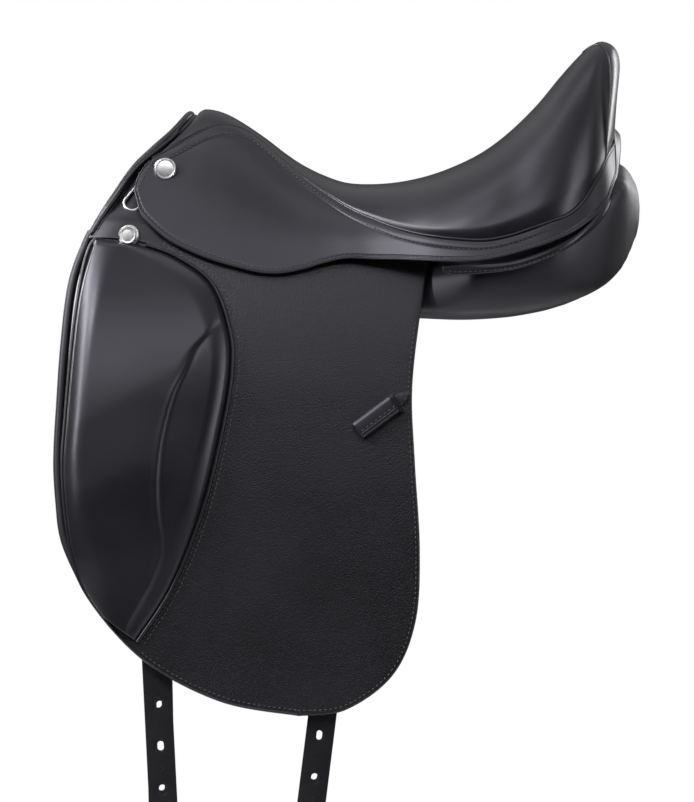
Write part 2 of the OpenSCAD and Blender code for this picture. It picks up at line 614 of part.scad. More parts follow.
module near_block_welt() {
    path = [for (v = [0.04 : 0.06 : 1]) let (b = block_row(v)[1],
        t = block_row(v + 0.02)[1] - block_row(v - 0.02)[1],
        e = b + (block_welt_radius + 0.8) * [-t[1], t[0]] / norm(t))
        [e[0], flap_side(e[1], -block_welt_radius - layer_gap - 0.3), e[1]]];
    color([0.05, 0.05, 0.06]) off_side() cord(path, block_welt_radius, [0, 1, 0]);
}

module off_block_welt() {
    off_side() near_block_welt();
}

// Stirrup leather keeper: rolled loop and its sewn tab, on the flap
module on_flap(p, t) {
    translate([sx * p[0], -flap_side(drop(p[1]), t), drop(p[1])]) rotate([-atan(low_flare), 0, 0])
        rotate([90, 0, 0]) children();
}

module near_leather_keeper() {
    color([0.1, 0.1, 0.11]) on_flap(keeper_at, -layer_gap - 0.2) rotate(keeper_turn) {
        translate([-keeper_length / 2, 0, keeper_height / 2]) rotate([90, 0, 90])
            linear_extrude(keeper_length) difference() {
                slot(keeper_width, keeper_height);
                slot(keeper_width - 2 * keeper_leather, keeper_height - 2 * keeper_leather);
            }
        translate([keeper_length / 2, 0, 0]) linear_extrude(keeper_leather)
            polygon([[-2, -keeper_width / 3], [9, -keeper_width / 3], [16, 0],
                [9, keeper_width / 3], [-2, keeper_width / 3]]);
    }
}

module off_leather_keeper() {
    off_side() near_leather_keeper();
}

// Girth straps hang from webs that come down from the tree
module strap(at, lean, first) {
    translate([sx * at[0], -(side(drop(at[1])) - strap_depth), drop(at[1])])
        rotate([-atan(low_flare), 0, 0]) rotate([90, 0, 0]) rotate(lean)
        translate([0, 0, -strap_leather / 2]) linear_extrude(strap_leather) difference() {
            union() {
                translate([-strap_width / 2, -strap_length + 20])
                    square([strap_width, strap_length - 20]);
                circle(strap_width / 2);
                polygon([[-strap_width / 2, 20 - strap_length], [-strap_width / 5, -strap_length],
                    [strap_width / 5, -strap_length], [strap_width / 2, 20 - strap_length]]);
            }
            for (i = [0 : hole_count - 1]) translate([0, -first - i * hole_pitch]) rotate(90)
                slot(hole_length, hole_width);
        }
}

module near_front_strap() {
    color([0.14, 0.14, 0.15]) strap(front_strap_at, near_front_lean, front_first_hole);
}

module near_rear_strap() {
    color([0.14, 0.14, 0.15]) strap(rear_strap_at, rear_lean, rear_first_hole);
}

module off_front_strap() {
    color([0.14, 0.14, 0.15]) off_side()
        strap(front_strap_at, off_front_lean, front_first_hole - off_hole_lift);
}

module off_rear_strap() {
    color([0.14, 0.14, 0.15]) off_side()
        strap(rear_strap_at, rear_lean, rear_first_hole - off_hole_lift);
}

function web_grid(top, foot, t) = [for (s = [0, 0.09, 0.18, 0.4, 0.6, 0.8, 1])
    let (z = mix(78, drop(foot[1]) + strap_width / 2 + layer_gap, s),
        x = sx * mix(top, foot[0] - 2, s), h = strap_width / 2 - 1,
        inner = skin(x + h, z, tree_depth) + 2.2 + web_thickness,
        y = min(mix(inner, side(z) - sweat_depth + layer_gap + web_thickness, ease(s / 0.18)),
            side(z) - flap_depth - flap_leather - 0.8))
    [for (e = [-h, 0, h]) [x + e, y - t, z]]];
module near_webs() {
    sheet(web_grid(-163, front_strap_at, 0), web_grid(-163, front_strap_at, web_thickness));
    sheet(web_grid(4, rear_strap_at, 0), web_grid(4, rear_strap_at, web_thickness));
}

module strap_webs() {
    color([0.8, 0.77, 0.7]) {
        off_side() near_webs();
        near_webs();
    }
}

// Stirrup bar in its own frame: X rearwards, Y up the tree, Z outwards
bar_y = skin(sx * bar_at[0], bar_at[1], tree_depth) + 1;
module on_tree() {
    translate([sx * bar_at[0], -bar_y, bar_at[1]]) rotate([-bar_tilt, 0, 0]) rotate([90, 0, 0])
        children();
}

bar_z = bar_plate_thickness + bar_gap;
bar_end = bar_plate_length / 2 - 6;
catch_x = bar_end - 6;
catch_z = bar_z + bar_thickness / 2 - catch_thickness / 2;
module stirrup_bar() {
    rivet_x = bar_plate_length / 2 - 9;
    difference() {
        union() {
            difference() {
                linear_extrude(bar_plate_thickness) slot(bar_plate_length, bar_plate_height);
                for (s = [-1, 1]) translate([s * rivet_x, 0, -1])
                    cylinder(h = bar_plate_thickness + 2, r = rivet_radius + pin_gap);
            }
            translate([-bar_plate_length / 2 + 16, -bar_height / 2, 1])
                cube([8, bar_height, bar_z + bar_thickness - 1]);
            translate([-bar_plate_length / 2 + 16, -bar_height / 2, bar_z])
                cube([bar_end + bar_plate_length / 2 - 16, bar_height, bar_thickness]);
        }
        translate([catch_x - 7, -bar_height, catch_z - fitting_gap])
            cube([30, 2 * bar_height, catch_thickness + 2 * fitting_gap]);
        translate([catch_x, 0, bar_z - 1])
            cylinder(h = bar_thickness + 2, r = pin_radius + pin_gap / 2);
    }
}

module near_stirrup_bar() {
    color([0.7, 0.7, 0.72]) on_tree() stirrup_bar();
}

module off_stirrup_bar() {
    off_side() near_stirrup_bar();
}

module bar_catch() {
    translate([catch_x, 0, catch_z]) linear_extrude(catch_thickness)
        difference() {
            union() {
                circle(bar_height / 2 - 0.5);
                translate([0, -3]) square([catch_length, 6]);
                translate([catch_length, 0]) circle(3);
                translate([catch_length - 3, 0]) square([6, 8]);
            }
            circle(pin_radius + pin_gap);
        }
}

module near_bar_catch() {
    color([0.75, 0.75, 0.77]) on_tree() bar_catch();
}

module off_bar_catch() {
    off_side() near_bar_catch();
}

module near_pin() {
    on_tree() translate([catch_x, 0, bar_z]) cylinder(h = bar_thickness, r = pin_radius);
}

module catch_pins() {
    color([0.6, 0.6, 0.62]) {
        near_pin();
        off_side() near_pin();
    }
}

module near_rivets() {
    on_tree() for (s = [-1, 1]) translate([s * (bar_plate_length / 2 - 9), 0, 0]) {
        cylinder(h = bar_plate_thickness + 0.2, r = rivet_radius);
        translate([0, 0, bar_plate_thickness + 0.2])
            cylinder(h = 1.6, r1 = rivet_radius + 2, r2 = rivet_radius);
    }
}

module bar_rivets() {
    color([0.65, 0.65, 0.67]) {
        near_rivets();
        off_side() near_rivets();
    }
}

// Dee: wire loop whose bar is held under the edge of the skirt
module on_head(p, d, tilt, turn) {
    translate([sx * p[0], -skin(sx * p[0], p[1], d), p[1]]) rotate([-tilt, 0, 0]) rotate([90, 0, 0])
        rotate(turn) children();
}

module wire(length) {
    cylinder(h = length, r = dee_wire, center = true);
}

module dee() {
    arm = dee_length - dee_width / 2;
    reach = dee_width / 2 + dee_wire;
    rotate([0, 90, 0]) wire(2 * reach);
    for (s = [-1, 1]) translate([s * reach, -arm / 2, 0]) rotate([90, 0, 0]) wire(arm);
    for (s = [-1, 1]) translate([s * reach, 0, 0]) sphere(dee_wire);
    translate([0, -arm, 0]) rotate(180) rotate_extrude(angle = 180)
        translate([reach, 0]) circle(dee_wire);
}

dee_lift = dee_wire + fitting_gap + 1.6;
module near_dee() {
    color([0.8, 0.8, 0.82]) on_head(dee_at, head_depth, dee_tilt, -dee_turn)
        translate([0, 0, dee_lift]) dee();
}

module off_dee() {
    off_side() near_dee();
}

module near_chape() {
    r = dee_wire + fitting_gap;
    on_head(dee_at, head_depth, dee_tilt, -dee_turn) translate([0, 0, dee_lift])
        rotate([0, -90, 0]) linear_extrude(dee_width - 3, center = true) difference() {
            union() {
                circle(r + 0.8);
                translate([-r - 0.8, 0]) square([1.6, 12]);
            }
            circle(r);
        }
}

module dee_chapes() {
    color([0.1, 0.1, 0.11]) {
        near_chape();
        off_side() near_chape();
    }
}

// Studs: plain discs with a raised rim
module stud(r) {
    rotate_extrude() polygon([[0, 0], [r, 0], [r, 1.8], [r - 1, 2.8], [r - 2, 2.8],
        [r - 2.6, 2.2], [0, 2.4]]);
}

module near_skirt_stud() {
    on_head(skirt_stud_at, -1, 33, 0) translate([0, 0, layer_gap + 0.4]) stud(skirt_stud_radius);
}

module skirt_studs() {
    color([0.82, 0.82, 0.84]) {
        near_skirt_stud();
        off_side() near_skirt_stud();
    }
}

module near_point_stud() {
    on_head(point_stud_at, head_depth, 21, 0) translate([0, 0, layer_gap]) {
        cylinder(h = 3, r = point_stud_radius - 3);
        translate([0, 0, 3]) stud(point_stud_radius);
    }
}

module point_studs() {
    color([0.82, 0.82, 0.84]) {
        near_point_stud();
        off_side() near_point_stud();
    }
}

tree_shell();
head_plate();
near_stirrup_bar();
off_stirrup_bar();
bar_rivets();
catch_pins();
near_bar_catch();
off_bar_catch();
seat_webbing();
seat_foam();
seat_cover();
seat_welt();
near_skirt();
off_skirt();
near_skirt_lobe();
off_skirt_lobe();
front_facing();
near_head_cover();
off_head_cover();
near_dee();
off_dee();
dee_chapes();
skirt_studs();
point_studs();
near_panel();
off_panel();
near_flocking();
off_flocking();
channel_lining();
rear_facing();
near_sweat_flap();
off_sweat_flap();
near_edge_roll();
off_edge_roll();
near_flap_top();
off_flap_top();
near_flap();
off_flap();
near_knee_block();
off_knee_block();
near_block_welt();
off_block_welt();
near_leather_keeper();
off_leather_keeper();
strap_webs();
near_front_strap();
near_rear_strap();
off_front_strap();
off_rear_strap();
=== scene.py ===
import json
import math

import bmesh
import bpy
import numpy as np
from mathutils import Matrix, Vector


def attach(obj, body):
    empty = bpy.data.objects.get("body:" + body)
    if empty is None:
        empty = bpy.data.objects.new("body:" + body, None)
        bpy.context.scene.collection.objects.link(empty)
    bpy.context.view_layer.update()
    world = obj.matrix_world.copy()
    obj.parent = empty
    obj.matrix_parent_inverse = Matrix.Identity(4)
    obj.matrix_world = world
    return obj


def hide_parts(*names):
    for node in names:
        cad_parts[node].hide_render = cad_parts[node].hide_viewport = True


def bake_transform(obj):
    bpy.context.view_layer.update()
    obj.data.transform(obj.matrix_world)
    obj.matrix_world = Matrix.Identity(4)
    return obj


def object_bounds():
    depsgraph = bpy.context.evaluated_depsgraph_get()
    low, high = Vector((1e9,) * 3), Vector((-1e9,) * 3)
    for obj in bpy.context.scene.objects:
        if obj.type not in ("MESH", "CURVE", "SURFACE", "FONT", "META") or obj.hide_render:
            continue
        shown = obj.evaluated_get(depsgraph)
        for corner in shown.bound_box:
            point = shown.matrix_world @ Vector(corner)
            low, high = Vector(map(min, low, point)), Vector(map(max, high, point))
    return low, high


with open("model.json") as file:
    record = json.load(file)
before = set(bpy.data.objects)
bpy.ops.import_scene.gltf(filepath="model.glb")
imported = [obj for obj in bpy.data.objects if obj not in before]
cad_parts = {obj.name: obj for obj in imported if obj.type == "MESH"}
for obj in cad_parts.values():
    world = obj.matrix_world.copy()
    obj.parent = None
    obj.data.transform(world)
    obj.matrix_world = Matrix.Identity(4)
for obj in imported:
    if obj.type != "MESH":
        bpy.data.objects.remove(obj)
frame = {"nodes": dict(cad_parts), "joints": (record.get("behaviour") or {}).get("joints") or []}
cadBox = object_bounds()
scene = bpy.context.scene
mm = 0.001  # the shapes below are worked out in millimetres
sides = (("near", -1), ("off", 1))
mirrorY = Matrix.Diagonal((1, -1, 1, 1))
print("frame loaded:", len(frame["nodes"]), "nodes")


# Curves and surfaces

def ease(t):
    c = np.clip(t, 0, 1)
    return c * c * (3 - 2 * c)


def ramp(x, start, reach):  # from 0 to 1 over a reach, which may be negative
    return ease((x - start) / reach)


def mix(a, b, t):
    return a + (b - a) * t


def smoothCurve(rows):  # rows of [place, value], read at any place between them
    xs, ys = np.array(rows, float).T
    low = np.maximum(np.arange(len(xs)) - 1, 0)
    high = np.minimum(np.arange(len(xs)) + 1, len(xs) - 1)
    slope = (ys[high] - ys[low]) / (xs[high] - xs[low])

    def read(x):
        x = np.clip(x, xs[0], xs[-1])
        i = np.clip(np.searchsorted(xs, x, side="right") - 1, 0, len(xs) - 2)
        h = xs[i + 1] - xs[i]
        c = (x - xs[i]) / h
        ends = ys[i] * (1 - c) ** 2 * (1 + 2 * c) + ys[i + 1] * c * c * (3 - 2 * c)
        return ends + slope[i] * h * c * (1 - c) ** 2 - slope[i + 1] * h * c * c * (1 - c)
    return read


def smoothPath(points):  # curve through points, read at a share of the way
    p = np.array(points, float)
    n = len(p) - 1

    def read(s):
        s = np.clip(np.asarray(s, float), 0, 1) * n
        i = np.clip(np.floor(s).astype(int), 0, n - 1)
        t = (s - i)[..., None]
        a, b, c, d = p[np.maximum(i - 1, 0)], p[i], p[i + 1], p[np.minimum(i + 2, n)]
        return 0.5 * (2 * b + (c - a) * t + (2 * a - 5 * b + 4 * c - d) * t ** 2
                      + (3 * b - a - 3 * c + d) * t ** 3)
    return read


def rowSurface(rowAt, count):  # smooth surface through rows of points, rowAt(i, v, d)
    middle = [rowAt(i, np.full(1, 0.5), np.zeros(1))[0] for i in range(count)]
    steps = np.linalg.norm(np.diff(middle, axis=0), axis=1)
    places = np.concatenate([[0], np.cumsum(steps)]) / steps.sum()
    low = np.maximum(np.arange(count) - 1, 0)
    high = np.minimum(np.arange(count) + 1, count - 1)

    def at(u, v, d):
        shape = np.broadcast(u, v, d).shape
        u, v, d = (np.broadcast_to(np.asarray(k, float), shape).ravel() for k in (u, v, d))
        rows = np.stack([rowAt(i, v, d) for i in range(count)])
        slopes = (rows[high] - rows[low]) / (places[high] - places[low])[:, None, None]
        i = np.clip(np.searchsorted(places, u, side="right") - 1, 0, count - 2)
        k = np.arange(len(u))
        h = (places[i + 1] - places[i])[:, None]
        c = (u - places[i])[:, None] / h
        ends = rows[i, k] * (1 - c) ** 2 * (1 + 2 * c) + rows[i + 1, k] * c * c * (3 - 2 * c)
        bend = slopes[i, k] * h * c * (1 - c) ** 2 - slopes[i + 1, k] * h * c * c * (1 - c)
        return (ends + bend).reshape(shape + (3,))
    at.places = places
    return at


# The saddle's own form: X runs to the rear, Y to the off side, Z up

form = {
    "baseZ": 66.0,  # level where the arched top meets the straight sides
    "seatLow": 127.0, "pommel": 198.0, "cantle": 264.0,
    "headHalf": 112.0, "seatHalf": 147.0,
    "sideFlare": 0.36, "lowFlare": 0.1, "flareHeight": 146.0,
    "rise": [[-171, 0.975], [-152, 1], [-133, 0.92], [-104, 0.667], [-66, 0.277], [-28, 0.04],
             [0, 0], [38, 0.028], [76, 0.111], [114, 0.256], [152, 0.498], [190, 0.824],
             [209, 0.955], [224, 1]],
    "spread": [[-171, 0], [-60, 0], [0, 0.17], [30, 0.43], [60, 0.77], [100, 1], [140, 1],
               [164, 0.97], [188, 0.69], [209, 0.19], [219, -0.27]],
    "flare": [[-171, 0.36], [-40, 0.36], [0, 0.28], [60, 0.14], [110, 0.1], [224, 0.1]],
    "roundness": [[-171, 2.3], [-120, 2.2], [-60, 2], [60, 2.1], [150, 2.6], [224, 2.7]],
    "seam": [[-204, 0.63], [-160, 0.817], [-122, 0.935], [-98, 0.924], [-51, 0.778], [-4, 0.444],
             [26, 0.234], [56, 0.105], [100, 0.036], [133, 0.078], [164, 0.14], [188, 0.183],
             [209, 0.3125], [219, 0.412]],
    "frontEdge": [[-261, -259], [-243, -269], [-206, -285], [-170, -290], [-133, -292],
                  [-78, -289.5], [-23, -286], [33, -279.5], [70, -267], [89, -257], [113, -242],
                  [140, -224], [158, -206], [175, -188], [197, -171]],
    "flapDepth": 5.984, "sweatDepth": 19.384, "strapDepth": 15.184, "panelDepth": 34.6,
    "headX": -171.0, "rimStart": 130.0, "rimReach": 101.0, "rimPower": 2.5,
}
# Height of the seam and of the lower skirt edge round the rear, by half width as a share
tail = [[0, 169, 152], [0.2, 166, 148], [0.41, 159, 138], [0.593, 147.4, 121], [0.732, 126, 101],
        [0.891, 97.5, 82], [0.973, 86, 68.5]]

topZ = smoothCurve([[x, form["seatLow"] + s * ((form["pommel"] if x < 0 else form["cantle"])
                                               - form["seatLow"])] for x, s in form["rise"]])
spreadAt = smoothCurve(form["spread"])
flareAt = smoothCurve(form["flare"])
powerAt = smoothCurve(form["roundness"])
seamShare = smoothCurve(form["seam"])
frontX = smoothCurve(form["frontEdge"])


def halfAt(x):
    return form["headHalf"] + (form["seatHalf"] - form["headHalf"]) * spreadAt(x)


def arch(x, a, d):  # point of the arched top, at an angle down from its crown and a depth
    x, a, d = np.broadcast_arrays(np.asarray(x, float), a, d)
    top = topZ(x) - form["baseZ"]
    s, e = flareAt(x), 2 / powerAt(x)
    w = halfAt(x) - s * top - d
    c = np.maximum(0, np.cos(a)) ** e
    y = w * np.maximum(0, np.sin(a)) ** e + s * (top - d) * (1 - c)
    return np.stack([x, y, form["baseZ"] + (top - d) * c], -1)


def under(x, z, d):  # point at a depth under a place on the skin, given from the side
    x, z, d = np.broadcast_arrays(np.asarray(x, float), z, d)
    top = topZ(x) - form["baseZ"]
    share = (z - form["baseZ"]) / top
    upper = arch(x, np.arccos(np.clip(share, 0, 1) ** (powerAt(x) / 2)), d)
    s = flareAt(x)
    y = halfAt(x) - s * top - d + s * (top - d) + s * (form["baseZ"] - z)
    return np.where((share > 0)[..., None], upper, np.stack([x, y, z], -1))


def seamAngle(x):
    return np.arccos(seamShare(x) ** (powerAt(x) / 2))


def turnAt(x, length):  # angle that a length takes up at the seam
    step = math.radians(1)
    a = seamAngle(x)
    return length * step / np.linalg.norm(arch(x, a, 0) - arch(x, a - step, 0), axis=-1)


def sideAt(z):  # half width of the side on which the flaps lie
    z = np.asarray(z, float)
    g = form["baseZ"] - z
    k = np.clip(g, 0, form["flareHeight"])
    curve = (form["sideFlare"] - form["lowFlare"]) / (2 * form["flareHeight"])
    low = form["headHalf"] + form["sideFlare"] * k - curve * k * k + form["lowFlare"] * (g - k)
    upper = under(np.full(z.shape, form["headX"]), np.maximum(z, form["baseZ"]), 0)[..., 1]
    return np.where(g <= 0, upper, low)


def rimX(q, o):  # plan of the rim round the rear
    bend = np.maximum(0, 1 - q ** form["rimPower"]) ** (1 / form["rimPower"])
    return form["rimStart"] + (form["rimReach"] + o) * bend


def rimY(q, o):
    return q * (form["seatHalf"] - 1 + o)


# Meshes

def linked(name, data):
    piece = bpy.data.objects.new(name, data)
    scene.collection.objects.link(piece)
    return piece


def newMesh(name, verts, edges=(), faces=()):
    mesh = bpy.data.meshes.new(name)
    mesh.from_pydata([tuple(map(float, p)) for p in np.asarray(verts) * mm], edges, faces)
    return mesh


def bakedMesh(piece):  # what the piece's modifiers make of it
    graph = bpy.context.evaluated_depsgraph_get()
    return bpy.data.meshes.new_from_object(piece.evaluated_get(graph))


def makePiece(name, verts, faces, material, mergeAt=0.02):
    mesh = newMesh(name, verts, (), faces)
    shape = bmesh.new()
    shape.from_mesh(mesh)
    bmesh.ops.remove_doubles(shape, verts=shape.verts, dist=mergeAt * mm)
    bmesh.ops.dissolve_degenerate(shape, edges=shape.edges, dist=1e-6)
    bmesh.ops.recalc_face_normals(shape, faces=shape.faces)
    shape.to_mesh(mesh)
    shape.free()
    mesh.polygons.foreach_set("use_smooth", np.ones(len(mesh.polygons), bool))
    mesh.materials.append(material)
    return linked(name, mesh)


def gridFaces(m, n, start=0, wrap=False):
    faces = []
    for i in range(m - 1):
        for j in range(n if wrap else n - 1):
            a, b = (start + i * n + k for k in (j, (j + 1) % n))
            faces.append((a, b, b + n, a + n))
    return faces


def closedSheet(name, outer, inner, sign, material):  # two grids that share their rim
    m, n = outer.shape[:2]
    verts = np.concatenate([outer.reshape(-1, 3), inner.reshape(-1, 3)]) * [1, sign, 1]
    faces = gridFaces(m, n) + [f[::-1] for f in gridFaces(m, n, m * n)]
    rim = [(0, j) for j in range(n)] + [(i, n - 1) for i in range(1, m)]
    rim += [(m - 1, j) for j in range(n - 2, -1, -1)] + [(i, 0) for i in range(m - 2, 0, -1)]
    loop = [i * n + j for i, j in rim]
    for a, b in zip(loop, loop[1:] + loop[:1]):
        faces.append((b, a, a + m * n, b + m * n))
    return makePiece(name, verts, faces, material)


roundSteps = np.linspace(0, math.pi / 2, 5)


def edgeGrid(at, m, n, thick, depth):  # leather with rounded edges: its two faces, as grids
    r = thick / 2
    back = r * np.cos(roundSteps)
    inset = r - back
    rims = 2 * len(roundSteps)
    us, vs = np.linspace(0, 1, m + rims), np.linspace(0, 1, n + rims)
    tiny = 1e-3
    least = 12 * r  # keeps the rounded edges of a narrow place from meeting

    def reach(u0, u1, v0, v1):
        step = at(u1, v1, depth) - at(u0, v0, depth)
        return np.maximum(np.linalg.norm(step, axis=-1) / tiny, least)

    def spread(first, last, count):  # shares along one direction, one column for each length
        start = inset[:, None] / first[None]
        end = 1 - inset[::-1, None] / last[None]
        t = np.linspace(0, 1, count + 2)[1:-1, None]
        return np.concatenate([start, mix(start[-1:], end[:1], t), end])

    u = spread(reach(0 * vs, 0 * vs + tiny, vs, vs), reach(0 * vs + 1 - tiny, 0 * vs + 1, vs, vs), m)
    v = spread(reach(us, us, 0 * us, 0 * us + tiny), reach(us, us, 0 * us + 1 - tiny, 0 * us + 1), n).T
    a = np.concatenate([back, np.zeros(m), back[::-1]])[:, None]
    b = np.concatenate([back, np.zeros(n), back[::-1]])[None]
    c = np.minimum(r, np.hypot(a, b))
    sink = r - np.sqrt(np.maximum(0, r * r - c * c))
    return at(u, v, depth + sink), at(u, v, depth + thick - sink)


def leatherSheet(name, at, size, thick, depth, sign, material):
    outer, inner = edgeGrid(at, size[0], size[1], thick, depth)
    return closedSheet(name, outer, inner, sign, material)


def outlineSurface(front, rear, level, inset=2.4):  # between two outlines seen from the side
    first, last = smoothPath(front), smoothPath(rear)
    step = 0.004

    def inward(path, v, turn):
        e = path(np.clip(v + step, 0, 1)) - path(np.clip(v - step, 0, 1))
        n = np.stack([-e[..., 1], e[..., 0]], -1) * turn
        return n / np.maximum(np.linalg.norm(n, axis=-1, keepdims=True), 1e-6)

    def at(u, v, d):
        u, v, d = np.broadcast_arrays(np.asarray(u, float), v, d)
        a, b = first(v), last(v)
        span = np.maximum(np.linalg.norm(b - a, axis=-1), 6 * inset)
        edge = inset / span
        ua, ub = np.minimum(u, edge), np.minimum(1 - u, edge)
        p = mix(a + inward(first, v, 1) * inset, b + inward(last, v, -1) * inset,
                np.clip((u - edge) / (1 - 2 * edge), 0, 1)[..., None])
        p = p - inward(first, v, 1) * (inset - ua * span)[..., None] * (u < edge)[..., None]
        p = p - inward(last, v, -1) * (inset - ub * span)[..., None] * (1 - u < edge)[..., None]
        return np.stack([p[..., 0], level(p[..., 0], p[..., 1], d), p[..., 1]], -1)
    return at


# Materials

def feed(tree, node, feeds):  # each input gets a link or a plain value
    for key, value in feeds.items():
        if isinstance(value, bpy.types.NodeSocket):
            tree.links.new(value, node.inputs[key])
        else:
            node.inputs[key].default_value = value


def addNode(tree, kind, feeds=None, **settings):
    node = tree.nodes.new(kind)
    for key, value in settings.items():
        setattr(node, key, value)
    feed(tree, node, feeds or {})
    return node


def socketGroup(kind, name, inputs, outputs):
    group = bpy.data.node_groups.new(name, kind)
    for label, socketKind, value in inputs:
        socket = group.interface.new_socket(name=label, in_out="INPUT", socket_type=socketKind)
        if value is not None:
            socket.default_value = value
    for label, socketKind in outputs:
        group.interface.new_socket(name=label, in_out="OUTPUT", socket_type=socketKind)
    return group, group.nodes.new("NodeGroupInput").outputs, group.nodes.new("NodeGroupOutput")


def mathNode(tree, operation, a, b):
    return addNode(tree, "ShaderNodeMath", {0: a, 1: b}, operation=operation).outputs[0]


def buildGrainGroup():  # pebbled hide: cells with soft valleys, pores and long creases
    group, inputs, outputs = socketGroup("ShaderNodeTree", "hideGrain", [
        ("Vector", "NodeSocketVector", None), ("Scale", "NodeSocketFloat", 900.0),
        ("Pebble", "NodeSocketFloat", 0.6), ("Crease", "NodeSocketFloat", 0.3)],
        [("Height", "NodeSocketFloat"), ("Valley", "NodeSocketFloat")])

    def times(a, b):
        return mathNode(group, "MULTIPLY", a, b)

    def noise(share, **values):  # noise at a share of the grain's scale
        feeds = {"Vector": inputs["Vector"], "Scale": times(inputs["Scale"], share)}
        return addNode(group, "ShaderNodeTexNoise", {**feeds, **values}).outputs

    push = addNode(group, "ShaderNodeVectorMath", {
        0: noise(0.35, Detail=2)["Color"], 1: (0.0012, 0.0012, 0.0012), 2: inputs["Vector"]},
        operation="MULTIPLY_ADD")
    cells = addNode(group, "ShaderNodeTexVoronoi", {
        "Vector": push.outputs[0], "Scale": inputs["Scale"], "Smoothness": 0.35}, feature="SMOOTH_F1")
    valley = cells.outputs["Distance"]
    pebble = times(mathNode(group, "SUBTRACT", 1.0, valley), inputs["Pebble"])
    pores = times(noise(2.2, Detail=4)["Fac"], 0.25)
    crease = times(noise(0.045, Detail=3, Distortion=0.8)["Fac"], inputs["Crease"])
    height = mathNode(group, "ADD", mathNode(group, "ADD", pebble, pores), crease)
    feed(group, outputs, {"Height": height, "Valley": valley})
    return group


def buildWearGroup():  # slow cloudy change over a surface, from handling
    group, inputs, outputs = socketGroup("ShaderNodeTree", "handling", [
        ("Vector", "NodeSocketVector", None), ("Scale", "NodeSocketFloat", 14.0)],
        [("Mask", "NodeSocketFloat")])
    cloud = addNode(group, "ShaderNodeTexNoise", {
        "Vector": inputs["Vector"], "Scale": inputs["Scale"], "Detail": 5, "Roughness": 0.6})
    spread = addNode(group, "ShaderNodeMapRange", {
        "Value": cloud.outputs["Fac"], "From Min": 0.3, "From Max": 0.7}, interpolation_type="SMOOTHSTEP")
    feed(group, outputs, {"Mask": spread.outputs["Result"]})
    return group


grainGroup = buildGrainGroup()
wearGroup = buildWearGroup()
leatherTint = (0.9, 0.88, 1.0, 1)


def newMaterial(name):
    material = bpy.data.materials.new(name)
    material.use_nodes = True
    return material, material.node_tree, material.node_tree.nodes["Principled BSDF"]


def objectPlace(tree):
    return addNode(tree, "ShaderNodeTexCoord").outputs["Object"]


def groupNode(tree, group, vector, **values):
    return addNode(tree, "ShaderNodeGroup", {"Vector": vector, **values}, node_tree=group).outputs


def mixColour(tree, mask, dark, light):
    feeds = {0: mask, 6: (*dark, 1), 7: (*light, 1)}
    return addNode(tree, "ShaderNodeMix", feeds, data_type="RGBA").outputs[2]


def mapMask(tree, mask, low, high):
    feeds = {"Value": mask, "To Min": low, "To Max": high}
    return addNode(tree, "ShaderNodeMapRange", feeds).outputs["Result"]


def addBump(tree, bsdf, height, distance):
    bump = addNode(tree, "ShaderNodeBump", {"Strength": 1.0, "Distance": distance, "Height": height})
    feed(tree, bsdf, {"Normal": bump.outputs["Normal"]})


def leatherFinish(name, look):
    material, tree, bsdf = newMaterial(name)
    place = objectPlace(tree)
    grain = groupNode(tree, grainGroup, place, Scale=look["grain"], Pebble=look["pebble"],
                      Crease=look["crease"])
    mask = groupNode(tree, wearGroup, place, Scale=look["cloud"])["Mask"]
    gloss = mapMask(tree, mask, *look["roughness"])
    valley = mathNode(tree, "MULTIPLY", grain["Valley"], look["valley"])
    feed(tree, bsdf, {"Base Color": mixColour(tree, mask, look["dark"], look["light"]),
                      "Roughness": mathNode(tree, "ADD", gloss, valley),
                      "Specular IOR Level": look["specular"], "Specular Tint": leatherTint})
    addBump(tree, bsdf, grain["Height"], look["depth"] * mm)
    return material


leathers = {  # sizes of the grain in cells a metre, depth of the grain in mm
    "smooth": {"grain": 1500, "pebble": 0.25, "crease": 0.5, "depth": 0.05, "cloud": 11,
               "dark": (0.0078, 0.0075, 0.0095), "light": (0.0110, 0.0105, 0.0131),
               "roughness": (0.30, 0.36), "valley": 0.04, "specular": 0.5},
    "grained": {"grain": 820, "pebble": 0.75, "crease": 0.35, "depth": 0.28, "cloud": 9,
                "dark": (0.0036, 0.0035, 0.0044), "light": (0.0052, 0.0050, 0.0063),
                "roughness": (0.31, 0.37), "valley": 0.08, "specular": 0.47},
    "panel": {"grain": 1300, "pebble": 0.35, "crease": 0.6, "depth": 0.07, "cloud": 10,
              "dark": (0.0105, 0.0101, 0.0126), "light": (0.0146, 0.0140, 0.0173),
              "roughness": (0.40, 0.46), "valley": 0.05, "specular": 0.5},
    "skirt": {"grain": 1400, "pebble": 0.3, "crease": 0.5, "depth": 0.06, "cloud": 11,
              "dark": (0.0072, 0.0069, 0.0087), "light": (0.0100, 0.0096, 0.0119),
              "roughness": (0.37, 0.43), "valley": 0.05, "specular": 0.5},
    "welt": {"grain": 2000, "pebble": 0.3, "crease": 0.3, "depth": 0.03, "cloud": 20,
             "dark": (0.0068, 0.0065, 0.0080), "light": (0.0100, 0.0096, 0.0118),
             "roughness": (0.28, 0.34), "valley": 0.04, "specular": 0.5},
    "strap": {"grain": 1100, "pebble": 0.5, "crease": 0.4, "depth": 0.08, "cloud": 18,
              "dark": (0.0042, 0.0040, 0.0050), "light": (0.0064, 0.0062, 0.0076),
              "roughness": (0.50, 0.58), "valley": 0.08, "specular": 0.22},
}
finish = {name: leatherFinish(name + "Leather", look) for name, look in leathers.items()}


